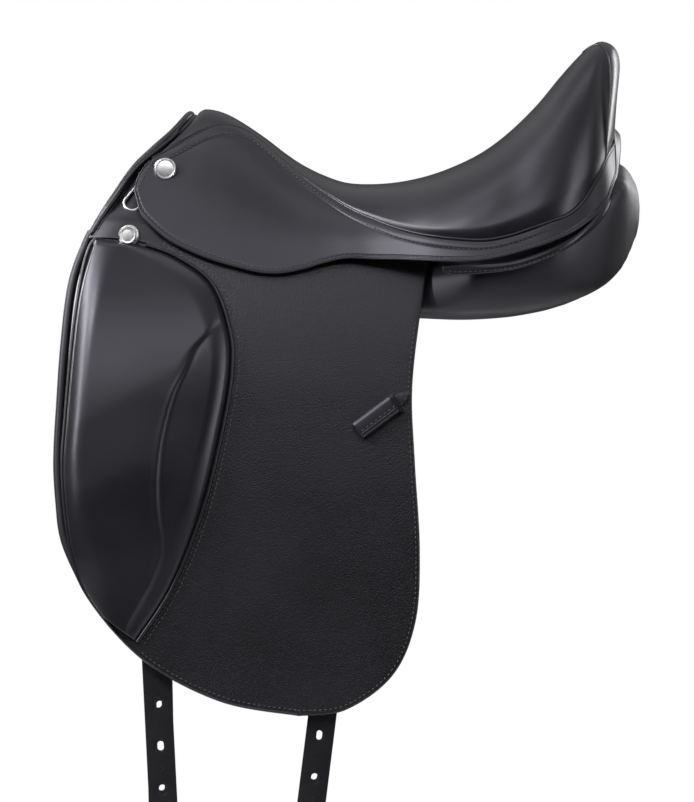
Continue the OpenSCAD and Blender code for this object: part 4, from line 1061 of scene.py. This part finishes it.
panel = {
    "rows": [[-232, [50, 96], [42, 84], [68, 32], [78, 46]], [-196, [44, 114], [30, 94], [62, 14], [78, 36]],
             [-150, [42, 118], [28, 92], [64, 3], [79, 30]], [-90, [36, 108], [30, 68], [78, 0], [101, 26]],
             [-30, [33, 86], [33, 42], [88, 0], [100, 28]], [30, [33, 88], [33, 24], [94, 0], [97, 30]],
             [64, [33, 96], [33, 18], [111, 0], [118, 34]], [100, [33, 108], [33, 14], [124, 1], [140, 42]],
             [140, [33, 124], [33, 15], [122, 4], [143, 52]],
             [180, [33, 140], [33, 24], [112, 11.5], [132, 72]],
             [215, [33, 149], [33, 43], [92, 25], [104, 99]], [238, [33, 147], [33, 66], [68, 46], [79, 122]],
             [251, [33, 129], [33, 86], [48, 74], [55, 112]]],
    "size": (120, 72), "endSwell": 5.0,
    "woolDepth": 10.0, "woolSize": (40, 28), "woolEnds": (0.05, 0.93),
}


def panelRow(i, v, d):  # closed section: channel side, underside, outer side, then back over the top
    x, a, f, c, b = panel["rows"][i]
    a, f, c, b = (np.array(k, float) for k in (a, f, c, b))
    top = [mix(b, a, k) + [0, 4] for k in (0.1, 0.4, 0.7)]
    ring = smoothPath([a, (a + f) / 2 + [-1, 0], f + [1, 1], (f + c) / 2 + [0, -4], c,
                       (c + b) / 2 + [6, -4], b + [1, -2], *top, a])
    e = 1e-3
    p = ring(v)
    t = ring(np.clip(v + e, 0, 1)) - ring(np.clip(v - e, 0, 1))
    n = np.stack([-t[..., 1], t[..., 0]], -1) / np.maximum(np.linalg.norm(t, axis=-1, keepdims=True), 1e-9)
    q = p + n * d[..., None]
    return np.stack([np.full(v.shape, float(x)), q[..., 0], q[..., 1]], -1)


panelAt = rowSurface(panelRow, len(panel["rows"]))


def cushion(name, depth, size, sign, material, ends=(0.0, 1.0)):  # closed pad with rounded ends
    u = np.linspace(*ends, size[0])
    v = np.linspace(0, 1, size[1], endpoint=False)
    rings = panelAt(u[:, None], v[None], depth)
    caps = []
    for ring, lean in ((rings[0], rings[0] - rings[1]), (rings[-1], rings[-1] - rings[-2])):
        centre, lean = ring.mean(0), lean.mean(0)
        lean /= np.linalg.norm(lean)
        caps.append([centre + (ring - centre) * math.cos(t) + lean * panel["endSwell"] * math.sin(t)
                     for t in np.linspace(0, math.pi / 2, 8)[1:]])
    rings = np.concatenate([caps[0][::-1], rings, caps[1]])
    m, n = rings.shape[:2]
    return makePiece(name, rings.reshape(-1, 3) * [1, sign, 1], gridFaces(m, n, 0, True), material)


def stuffed(piece, look):  # leather blown up a little by its stuffing, as cloth under pressure
    remesh = piece.modifiers.new("voxels", "REMESH")
    remesh.mode = "VOXEL"
    remesh.voxel_size = look["voxel"] * mm
    mesh = bakedMesh(piece)
    piece.modifiers.clear()
    piece.data = mesh
    start = np.empty(len(mesh.vertices) * 3)
    mesh.vertices.foreach_get("co", start)
    cloth = piece.modifiers.new("stuffing", "CLOTH")
    cloth.settings.use_pressure = True
    cloth.settings.uniform_pressure_force = look["pressure"]
    cloth.settings.tension_stiffness = look["stiff"]
    cloth.settings.compression_stiffness = look["stiff"]
    cloth.settings.bending_stiffness = look["bend"]
    cloth.settings.effector_weights.gravity = 0
    cloth.point_cache.frame_end = look["frames"]
    for k in range(1, look["frames"] + 1):
        scene.frame_set(k)
    graph = bpy.context.evaluated_depsgraph_get()
    blown = np.empty(len(start))
    piece.evaluated_get(graph).data.vertices.foreach_get("co", blown)
    piece.modifiers.clear()
    scene.frame_set(1)
    outward = np.empty(len(start))
    mesh.vertices.foreach_get("normal", outward)
    outward = outward.reshape(-1, 3)
    swell = np.clip(((blown - start).reshape(-1, 3) * outward).sum(1), 0, look["cap"] * mm)
    ends = np.empty(len(mesh.edges) * 2, int)
    mesh.edges.foreach_get("vertices", ends)
    ends = np.concatenate([ends.reshape(-1, 2), ends.reshape(-1, 2)[:, ::-1]])
    count = np.bincount(ends[:, 0], minlength=len(swell))
    for _ in range(look["even"]):  # the swelling is evened out over the neighbours
        swell = (swell + np.bincount(ends[:, 0], swell[ends[:, 1]], len(swell)) / count) / 2
    swell *= ramp(start[::3] / mm, *look["calm"])
    mesh.vertices.foreach_set("co", start + (outward * swell[:, None]).ravel())
    print("stuffed:", piece.name, "mm:", np.round(np.percentile(swell, (5, 50, 95)) / mm, 2))


def smoothed(piece, repeat):  # evens out the voxel steps, then one subdivision
    soft = piece.modifiers.new("soft", "SMOOTH")
    soft.factor = 0.5
    soft.iterations = repeat
    finer = piece.modifiers.new("finer", "SUBSURF")
    finer.levels = 1
    finer.render_levels = 1
    mesh = bakedMesh(piece)
    piece.modifiers.clear()
    piece.data = mesh
    mesh.polygons.foreach_set("use_smooth", np.ones(len(mesh.polygons), bool))


stuffing = {"voxel": 5.0, "pressure": 4.0, "stiff": 15.0, "bend": 0.5, "frames": 20, "cap": 5.0,
            "start": 2.0, "even": 12, "soft": 9,
            "calm": (-228.0, 50.0)}  # the thin front end stays as it is sewn
startDepth = stuffing["start"]
panels = {side: cushion(side + "Panel", np.full(1, startDepth), panel["size"], sign, finish["panel"])
          for side, sign in sides}
stuffed(panels["near"], stuffing)
smoothed(panels["near"], stuffing["soft"])
twin = panels["near"].data.copy()
twin.transform(mirrorY)
twin.flip_normals()
panels["off"].data = twin
for side, sign in sides:
    panels[side].data.materials.clear()
    panels[side].data.materials.append(finish["panel"])
    settle(panels[side], "saddle", [side + "_panel"])
    wool = cushion(side + "Flocking", np.full(1, panel["woolDepth"]), panel["woolSize"], sign, finish["wool"],
                   panel["woolEnds"])
    settle(wool, "saddle", [side + "_flocking"])

rearFacing = {
    "line": [[0, 169], [0.2, 162], [0.41, 140], [0.593, 110], [0.732, 92], [0.891, 72], [0.973, 58], [1, 46]],
    "tips": [[78, 41.5, 8.4], [65.5, 42.5, 4.0]], "tipOut": 1.5,  # the two last rows at each end
    "height": (28.0, 9.0), "out": (4.8, 5.0), "thick": 3.0, "size": (200, 16), "stitch": 2.4,
    "puff": 1.6, "roll": 5.0,
}
facingRows = len(rearFacing["line"])
facingEnd = facingRows + len(rearFacing["tips"]) - 1


def facingRow(i, v, d):
    k = abs(i - facingEnd)
    s = -1 if i < facingEnd else 1
    if k >= facingRows:
        x, z, h = rearFacing["tips"][k - facingRows]
        y = s * (form["seatHalf"] + rearFacing["tipOut"] - d)
        return np.stack([np.full(v.shape, float(x)), y, z + (0.5 - v) * h], -1)
    q, z = rearFacing["line"][k]
    h = mix(*rearFacing["height"], ease(q))
    o = mix(*rearFacing["out"], ease(q)) + rearFacing["puff"] * np.sin(math.pi * v) - d
    o = o - rearFacing["roll"] * ramp(v, 0.34, -0.34) * ramp(q, 0.5, -0.3)
    return np.stack([rimX(q, o), s * rimY(q, o), z + (0.5 - v) * h], -1)


rearAt = rowSurface(facingRow, 2 * facingEnd + 1)
band = leatherSheet("rearFacing", rearAt, rearFacing["size"], rearFacing["thick"], 0, 1, finish["smooth"])
settle(band, "saddle", ["rear_facing"])
bandU = np.linspace(0.012, 0.988, 500)
bandLow = surfaceLine(rearAt, bandU, acrossShare(rearAt, bandU, rearFacing["stitch"], True), 1, 0.1)
settle(stitches("rearFacingStitches", [bandLow]), "saddle")


def archBand(rows, a0, a1):
    def at(u, v, d):
        u, v, d = np.broadcast_arrays(np.asarray(u, float), v, d)
        a = np.radians(mix(a0, a1, v))
        p = arch(mix(*rows, u), np.abs(a), d)
        return np.stack([p[..., 0], np.sign(a) * p[..., 1], p[..., 2]], -1)
    return at


channel = {"rows": (-150, 204), "angles": (-24, 24), "size": (40, 20), "thick": 1.4, "depth": 32.6}
seatWeb = {"rows": (-119, 196), "angles": ((14, 44), (-44, -14)), "size": (60, 10), "thick": 2.0,
           "depth": 17.4}


def bandPiece(name, band, angles, material):
    return leatherSheet(name, archBand(band["rows"], *angles), band["size"], band["thick"], band["depth"], 1,
                        material)


def joined(name, parts):
    material = parts[0].data.materials[0]
    shape = bmesh.new()
    for part in parts:
        shape.from_mesh(part.data)
        bpy.data.objects.remove(part)
    mesh = bpy.data.meshes.new(name)
    shape.to_mesh(mesh)
    shape.free()
    mesh.materials.append(material)
    return linked(name, mesh)


lining = bandPiece("channelLining", channel, channel["angles"], finish["panel"])
settle(lining, "saddle", ["channel_lining"])
webParts = [bandPiece("seatWeb" + str(k), seatWeb, angles, finish["webbing"])
            for k, angles in enumerate(seatWeb["angles"])]
settle(joined("seatWebbing", webParts), "saddle", ["seat_webbing"])
print("panel made")


# Girth straps, hung from their webs, with numbered holes

strap = {"width": 26.0, "thick": 3.4, "length": 500.0, "holes": 5, "pitch": 40.0, "holeSize": (6.4, 9.6),
         "tip": 20.0, "bevel": 0.7, "numberHigh": 9.0}
straps = {"front": {"at": (-211, -60), "first": 297.0, "numbers": "87654"},
          "rear": {"at": (-6, -60), "first": 289.0, "numbers": "76543"}}
offHoleLift = 17.0  # the off straps are punched higher
leans = {"near_front": 3.1, "off_front": 0.9, "near_rear": -7.1, "off_rear": -7.1}
lowTilt = -math.atan(form["lowFlare"])


def onSide(x, z, depth, turn):  # frame of a flat thing on the near side: X back, Y up, Z outwards
    y = -(float(sideAt(z)) - depth)
    return (Matrix.Translation(Vector((x, y, z)) * mm) @ Matrix.Rotation(lowTilt, 4, "X")
            @ Matrix.Rotation(math.pi / 2, 4, "X") @ Matrix.Rotation(math.radians(turn), 4, "Z"))


def meshFrom(name, curve):  # a curve or text made a mesh
    source = linked(name, curve)
    mesh = bakedMesh(source)
    bpy.data.objects.remove(source)
    mesh.name = name
    return mesh


def flatMesh(name, loops, half, bevel, steps, inset=0.0):  # a filled outline, with holes and bevelled edges
    curve = bpy.data.curves.new(name, "CURVE")
    curve.dimensions = "2D"
    curve.fill_mode = "BOTH"
    curve.extrude = half * mm
    curve.bevel_depth = bevel * mm
    curve.bevel_resolution = steps
    curve.offset = -inset * mm
    for points in loops:
        spline = curve.splines.new("POLY")
        spline.points.add(len(points) - 1)
        for k, (x, y) in enumerate(points):
            spline.points[k].co = (x * mm, y * mm, 0, 1)
        spline.use_cyclic_u = True
    return meshFrom(name, curve)


def ovalHole(y, size):
    a = np.linspace(0, 2 * math.pi, 24, endpoint=False)
    r = size[0] / 2
    lift = (size[1] - size[0]) / 2
    return [(r * math.cos(k), y + r * math.sin(k) + (lift if math.sin(k) > 0 else -lift)) for k in a]


def strapMesh(name, first):
    w, end = strap["width"] / 2, -strap["length"]
    turn = np.linspace(0, math.pi, 17)
    outline = [(w * math.cos(a), w * math.sin(a)) for a in turn]
    outline += [(-w, y) for y in np.linspace(0, end + strap["tip"], 30)[1:]]
    outline += [(-w * 0.4, end), (w * 0.4, end)]
    outline += [(w, y) for y in np.linspace(end + strap["tip"], 0, 30)[:-1]]
    holes = [ovalHole(-first - k * strap["pitch"], strap["holeSize"]) for k in range(strap["holes"])]
    bevel = strap["bevel"]
    return flatMesh(name, [outline] + holes, strap["thick"] / 2 - bevel, bevel, 3, bevel)


def numberMesh(text, y):
    curve = bpy.data.curves.new("number", "FONT")
    curve.body = text
    curve.size = strap["numberHigh"] * mm
    curve.align_x = "CENTER"
    curve.align_y = "CENTER"
    curve.extrude = 0.12 * mm
    curve.bevel_depth = 0.08 * mm
    curve.offset = -0.25 * mm
    mesh = meshFrom("number", curve)
    mesh.transform(Matrix.Translation(Vector((0, y, strap["thick"] / 2)) * mm))
    return mesh


def finishMesh(name, meshes, matrix, material, mergeAt=0.01, sharp=35):
    shape = bmesh.new()
    for mesh in meshes:
        shape.from_mesh(mesh)
        bpy.data.meshes.remove(mesh)
    bmesh.ops.remove_doubles(shape, verts=shape.verts, dist=mergeAt * mm)
    bmesh.ops.transform(shape, matrix=matrix, verts=shape.verts)
    bmesh.ops.recalc_face_normals(shape, faces=shape.faces)
    for f in shape.faces:
        f.smooth = True
        f.material_index = 0
    mesh = bpy.data.meshes.new(name)
    shape.to_mesh(mesh)
    shape.free()
    mesh.materials.append(material)
    mesh.set_sharp_from_angle(angle=math.radians(sharp))
    return linked(name, mesh)


for side, sign in sides:
    for place, values in straps.items():
        label = side + place.capitalize() + "Strap"
        matrix = onSide(*values["at"], form["strapDepth"], leans[side + "_" + place])
        if sign > 0:
            matrix = mirrorY @ matrix
        first = values["first"] - (offHoleLift if sign > 0 else 0)
        body = side + "_" + place + "_strap"
        piece = finishMesh(label, [strapMesh(label, first)], matrix, finish["strap"])
        settle(piece, body, [body])
        digits = [numberMesh(values["numbers"][k], -first - (k - 0.5) * strap["pitch"])
                  for k in range(strap["holes"])]
        if sign > 0:
            for mesh in digits:  # read the right way round from the off side
                mesh.transform(Matrix.Diagonal((-1, 1, 1, 1)))
        marks = finishMesh(label + "Numbers", digits, matrix, finish["welt"])
        settle(marks, body)

web = {"front": (-163, straps["front"]["at"]), "rear": (4, straps["rear"]["at"]), "top": 78.0, "thick": 2.0,
       "half": 12.0, "footStep": 2.0, "size": (8, 60), "treeDepth": 20.8, "treeGap": 4.2, "sideGap": 2.4}


def webAt(top, foot):
    def at(u, v, d):
        u, v, d = np.broadcast_arrays(np.asarray(u, float), v, d)
        z = mix(web["top"], foot[1] + strap["width"] / 2 + 0.4, v)
        middle = mix(top, foot[0] - web["footStep"], v)
        inner = under(middle + web["half"], z, web["treeDepth"])[..., 1] + web["treeGap"]
        outer = sideAt(z) - form["sweatDepth"] + web["sideGap"]
        x = middle + mix(-web["half"], web["half"], u)
        return np.stack([x, mix(inner, outer, ease(v / 0.18)) - d, z], -1)
    return at


webs = [leatherSheet(side + place + "Web", webAt(*web[place]), web["size"], web["thick"], 0, sign,
                     finish["webbing"]) for side, sign in sides for place in ("front", "rear")]
settle(joined("strapWebs", webs), "saddle", ["strap_webs"])
print("straps made")


# Stirrup leather keeper: a rolled loop, its collar and its sewn tab

keeper = {
    "at": (6.2, -93.3), "turn": 37.0, "sink": 0.6, "length": 46.0, "width": 18.0, "height": 9.5, "wall": 2.0,
    "collar": 4.5, "collarWall": 1.6, "collarOut": 0.6, "collarLift": 0.4,
    "edges": ((-4.6, 9.4), (-7.6, 8.1)), "edgeRadius": 0.5,
    "tab": [(-3, -5.4), (5.5, -5.0), (13.5, -1.2), (13.5, 1.2), (5.5, 5.0), (-3, 5.4)],
    "tabHalf": 0.6, "tabBevel": 0.4, "tabLift": 1.2,
    "tabStitch": [(1.5, -3.9), (5, -3.7), (12, 0), (5, 3.7), (1.5, 3.9)], "tabTop": 2.3, "seam": 6.6,
}


def loopRing(width, height, x, count=40):
    a = np.linspace(0, 2 * math.pi, count, endpoint=False)
    r = height / 2
    reach = (width - height) / 2
    y = r * np.cos(a) + np.where(np.cos(a) > 0, reach, -reach)
    return np.stack([np.full(count, x), y, keeper["height"] / 2 + r * np.sin(a)], -1)


def loopTube(name, x0, x1, width, height, wall):
    r = wall / 2
    rings = []
    for outward in (True, False):
        turns = np.linspace(0, math.pi / 2, 5)
        xs = np.concatenate([x0 + r - r * np.cos(turns), np.linspace(x0 + r, x1 - r, 14)[1:-1],
                             (x1 - r + r * np.cos(turns))[::-1]])
        gap = np.concatenate([r - r * np.sin(turns), np.zeros(12), (r - r * np.sin(turns))[::-1]])
        inset = gap if outward else wall - gap
        rows = [loopRing(width - 2 * k, height - 2 * k, x) for x, k in zip(xs, inset)]
        rings += rows if outward else rows[::-1]
    rings = np.array(rings + rings[:1])
    m, n = rings.shape[:2]
    return newMesh(name, rings.reshape(-1, 3), (), gridFaces(m, n, 0, True))


def tabMesh(name):
    outline = [(x + keeper["length"] / 2, y) for x, y in keeper["tab"]]
    mesh = flatMesh(name, [outline], keeper["tabHalf"], keeper["tabBevel"], 2)
    mesh.transform(Matrix.Translation((0, 0, keeper["tabLift"] * mm)))
    return mesh


def keeperRun(x0, x1, y, z, count):  # a straight line along the loop
    return np.stack([np.linspace(x0, x1, count), np.full(count, y), np.full(count, z)], -1)


for side, sign in sides:
    depth = form["flapDepth"] - keeper["sink"] - float(flapBelly(keeper["at"][1]))
    matrix = onSide(*keeper["at"], depth, keeper["turn"])
    if sign > 0:
        matrix = mirrorY @ matrix
    turn, shift = np.array(matrix.to_3x3()), np.array(matrix.translation) / mm
    x, wall = keeper["length"] / 2, keeper["collarWall"]
    loop = loopTube("loop", -x, x, keeper["width"], keeper["height"], keeper["wall"])
    piece = finishMesh(side + "LeatherKeeper", [loop, tabMesh("tab")], matrix, finish["skirt"])
    settle(piece, side + "_flap", [side + "_leather_keeper"])
    ring = loopTube("collar", x - keeper["collar"], x + keeper["collarOut"], keeper["width"] + wall,
                    keeper["height"] + wall, wall)
    ring.transform(Matrix.Translation((0, 0, keeper["collarLift"] * mm)))
    collar = finishMesh(side + "KeeperCollar", [ring], matrix, finish["strap"])
    settle(collar, side + "_flap")
    seamLine = keeperRun(-x + 4, x - 6, -keeper["width"] / 2 + keeper["seam"], keeper["height"] + 0.05, 30)
    tabLine = np.array([(x + along, y, keeper["tabTop"]) for along, y in keeper["tabStitch"]], float)
    lines = []
    for line in (seamLine, tabLine):
        lines.append((line @ turn.T + shift, np.broadcast_to(turn @ [0, 0, 1.0], line.shape)))
    settle(stitches(side + "KeeperStitches", lines), side + "_flap")
    edges = [keeperRun(-x + 1.5, x - 5, y, z, 24) @ turn.T + shift for y, z in keeper["edges"]]
    ribs = piping(side + "KeeperEdges", edges, keeper["edgeRadius"], finish["smooth"])
    settle(ribs, side + "_flap")
print("keepers made")


# Studs: turned buttons with a rim, bare in the middle

studs = {
    "skirt": {"at": (-191.4, 135.9), "depth": -2.8, "lean": 0.0, "upright": 0.78,
              "profile": [(0, 2.5), (3, 2.45), (6, 2.3), (7.6, 2.1), (8.0, 1.6), (8.3, 1.6), (8.6, 2.3),
                          (9.2, 2.75), (9.8, 2.6), (10.4, 1.9), (10.6, 1.0), (10.6, -0.8), (0, -0.8)]},
    "point": {"at": (-224, 74.5), "depth": 3.0, "lean": 12.0, "upright": 0.6,
              "profile": [(0, 5.4), (2.8, 5.4), (5.0, 5.3), (5.5, 4.9), (6.0, 4.9), (6.5, 5.5), (7.5, 5.6),
                          (8.1, 5.2), (8.2, 4.5), (8.1, 2.5), (8.5, 2.1), (9.4, 2.2), (10.0, 1.8),
                          (10.2, 1.0), (10.2, -1.4), (0, -1.4)]},
}


def turned(name, profile, matrix, count=48):
    a = np.linspace(0, 2 * math.pi, count, endpoint=False)
    rings = np.array([[(r * math.cos(k), r * math.sin(k), h) for k in a] for r, h in profile])
    mesh = newMesh(name, rings.reshape(-1, 3), (), gridFaces(len(profile), count, 0, True))
    mesh.transform(matrix)
    return mesh


for kind, stud in studs.items():
    x, z = stud["at"]
    spot = under(np.array([x, x + 1.0, x]), np.array([z, z, z + 1.0]), stud["depth"])
    outward = Vector(np.cross(spot[1] - spot[0], spot[2] - spot[0])).normalized()
    outward = outward if outward.y > 0 else -outward
    outward = outward.lerp(Vector((0, 1, 0)), stud["upright"]).normalized()
    outward = Matrix.Rotation(math.radians(stud["lean"]), 3, "Z") @ outward
    place = Matrix.Translation(Vector(spot[0]) * mm) @ outward.to_track_quat("Z", "Y").to_matrix().to_4x4()
    pair = [turned(kind + "Stud", stud["profile"], m @ place) for m in (mirrorY, Matrix.Identity(4))]
    piece = finishMesh(kind + "Studs", pair, Matrix.Identity(4), finish["nickel"])
    settle(piece, "saddle", [kind + "_studs"])
print("studs made")


# Rigid pieces of the frame keep their shape and get their finish

rigid = {"nickel": ["near_dee", "off_dee"],
         "steel": ["head_plate", "bar_rivets", "catch_pins", "near_stirrup_bar", "off_stirrup_bar",
                   "near_bar_catch", "off_bar_catch"],
         "plastic": ["tree_shell"], "smooth": ["dee_chapes"]}
for kind, nodes in rigid.items():
    for node in nodes:
        piece = frame["nodes"][node]
        piece.data.materials.clear()
        piece.data.materials.append(finish[kind])
print("rigid pieces finished")


# Studio

studio = {
    "distance": 4.5, "aim": (-0.02185, -0.07885), "scale": 0.00095, "imageHeight": 802, "sensor": 36.0,
    "floorGap": 0.004, "floorRadius": 0.85, "floor": (0.82, 0.82, 0.82), "world": 0.03, "mirrored": 0.47,
    "above": (0.26, 0.6), "below": (-0.1, -0.9), "belowShare": 0.15,
}
camera = bpy.data.cameras.new("camera")
camera.sensor_width = studio["sensor"]
camera.lens = studio["sensor"] * studio["distance"] / (studio["imageHeight"] * studio["scale"])
viewer = linked("camera", camera)
viewer.location = (studio["aim"][0], -studio["distance"], studio["aim"][1])
viewer.rotation_euler = (math.pi / 2, 0, 0)
scene.camera = viewer

lamps = {  # each looks at the origin
    "frontSoftbox": {"at": (0.0, -2.15, 1.2), "size": (1.4, 0.35), "power": 8.5},
    "frontLeftBox": {"at": (-1.3, -1.5, 1.6), "size": (0.6, 0.6), "power": 27},
    "leftStrip": {"at": (-2.05, -0.95, 1.0), "size": (0.35, 1.4), "power": 41},
    "leftHighBox": {"at": (-1.8, -0.5, 1.8), "size": (0.5, 1.0), "power": 30},
    "rightStrip": {"at": (2.2, -0.95, 0.35), "size": (0.6, 1.7), "power": 18},
    "topSoftbox": {"at": (0.0, -0.2, 2.4), "size": (2.0, 0.7), "power": 6},
    "offLeftStrip": {"at": (-1.8, 1.7, 0.9), "size": (0.5, 1.4), "power": 28},
    "offRightStrip": {"at": (1.8, 1.7, 0.9), "size": (0.5, 1.4), "power": 28},
}
for name, lamp in lamps.items():
    light = bpy.data.lights.new(name, "AREA")
    light.shape = "RECTANGLE"
    light.size, light.size_y = lamp["size"]
    light.energy = lamp["power"]
    holder = linked(name, light)
    holder.location = lamp["at"]
    way = Vector((0, 0, 0)) - Vector(lamp["at"])
    holder.rotation_euler = way.to_track_quat("-Z", "Y").to_euler()

world = bpy.data.worlds.new("studio")
world.use_nodes = True
scene.world = world
sky = world.node_tree
sky.nodes.clear()
white = (1, 1, 1, 1)
plain = addNode(sky, "ShaderNodeBackground", {"Color": white, "Strength": 1.0})
fill = addNode(sky, "ShaderNodeBackground", {"Color": white, "Strength": studio["world"]})
rays = addNode(sky, "ShaderNodeLightPath").outputs
skyWay = addNode(sky, "ShaderNodeSeparateXYZ", {0: addNode(sky, "ShaderNodeTexCoord").outputs["Generated"]})


def heightMask(low, high):  # dark flags stand round the studio, so mirrored rays see white above and below
    feeds = {"Value": skyWay.outputs["Z"], "From Min": low, "From Max": high}
    return addNode(sky, "ShaderNodeMapRange", feeds, interpolation_type="SMOOTHSTEP").outputs["Result"]


below = mathNode(sky, "MULTIPLY", heightMask(*studio["below"]), studio["belowShare"])
openSky = mathNode(sky, "ADD", heightMask(*studio["above"]), below)
openSky = mathNode(sky, "MULTIPLY", openSky, studio["mirrored"])
bounced = mathNode(sky, "MAXIMUM", rays["Is Glossy Ray"], rays["Is Transmission Ray"])
seen = mathNode(sky, "MAXIMUM", rays["Is Camera Ray"], mathNode(sky, "MULTIPLY", bounced, openSky))
choose = addNode(sky, "ShaderNodeMixShader", {0: seen, 1: fill.outputs[0], 2: plain.outputs[0]})
addNode(sky, "ShaderNodeOutputWorld", {"Surface": choose.outputs[0]})

low = cadBox[0].z - studio["floorGap"]
disc = bmesh.new()
bmesh.ops.create_circle(disc, cap_ends=True, segments=96, radius=studio["floorRadius"])
floorMesh = bpy.data.meshes.new("floor")
disc.to_mesh(floorMesh)
disc.free()
floorMesh.transform(Matrix.Translation((0, 0, low)))
floorFinish, floorTree, floorShader = newMaterial("paleFloor")
feed(floorTree, floorShader, {"Base Color": (*studio["floor"], 1), "Roughness": 0.8})
floorMesh.materials.append(floorFinish)
floorPiece = linked("floor", floorMesh)
scene.view_settings.view_transform = "Standard"

print("scene ready")
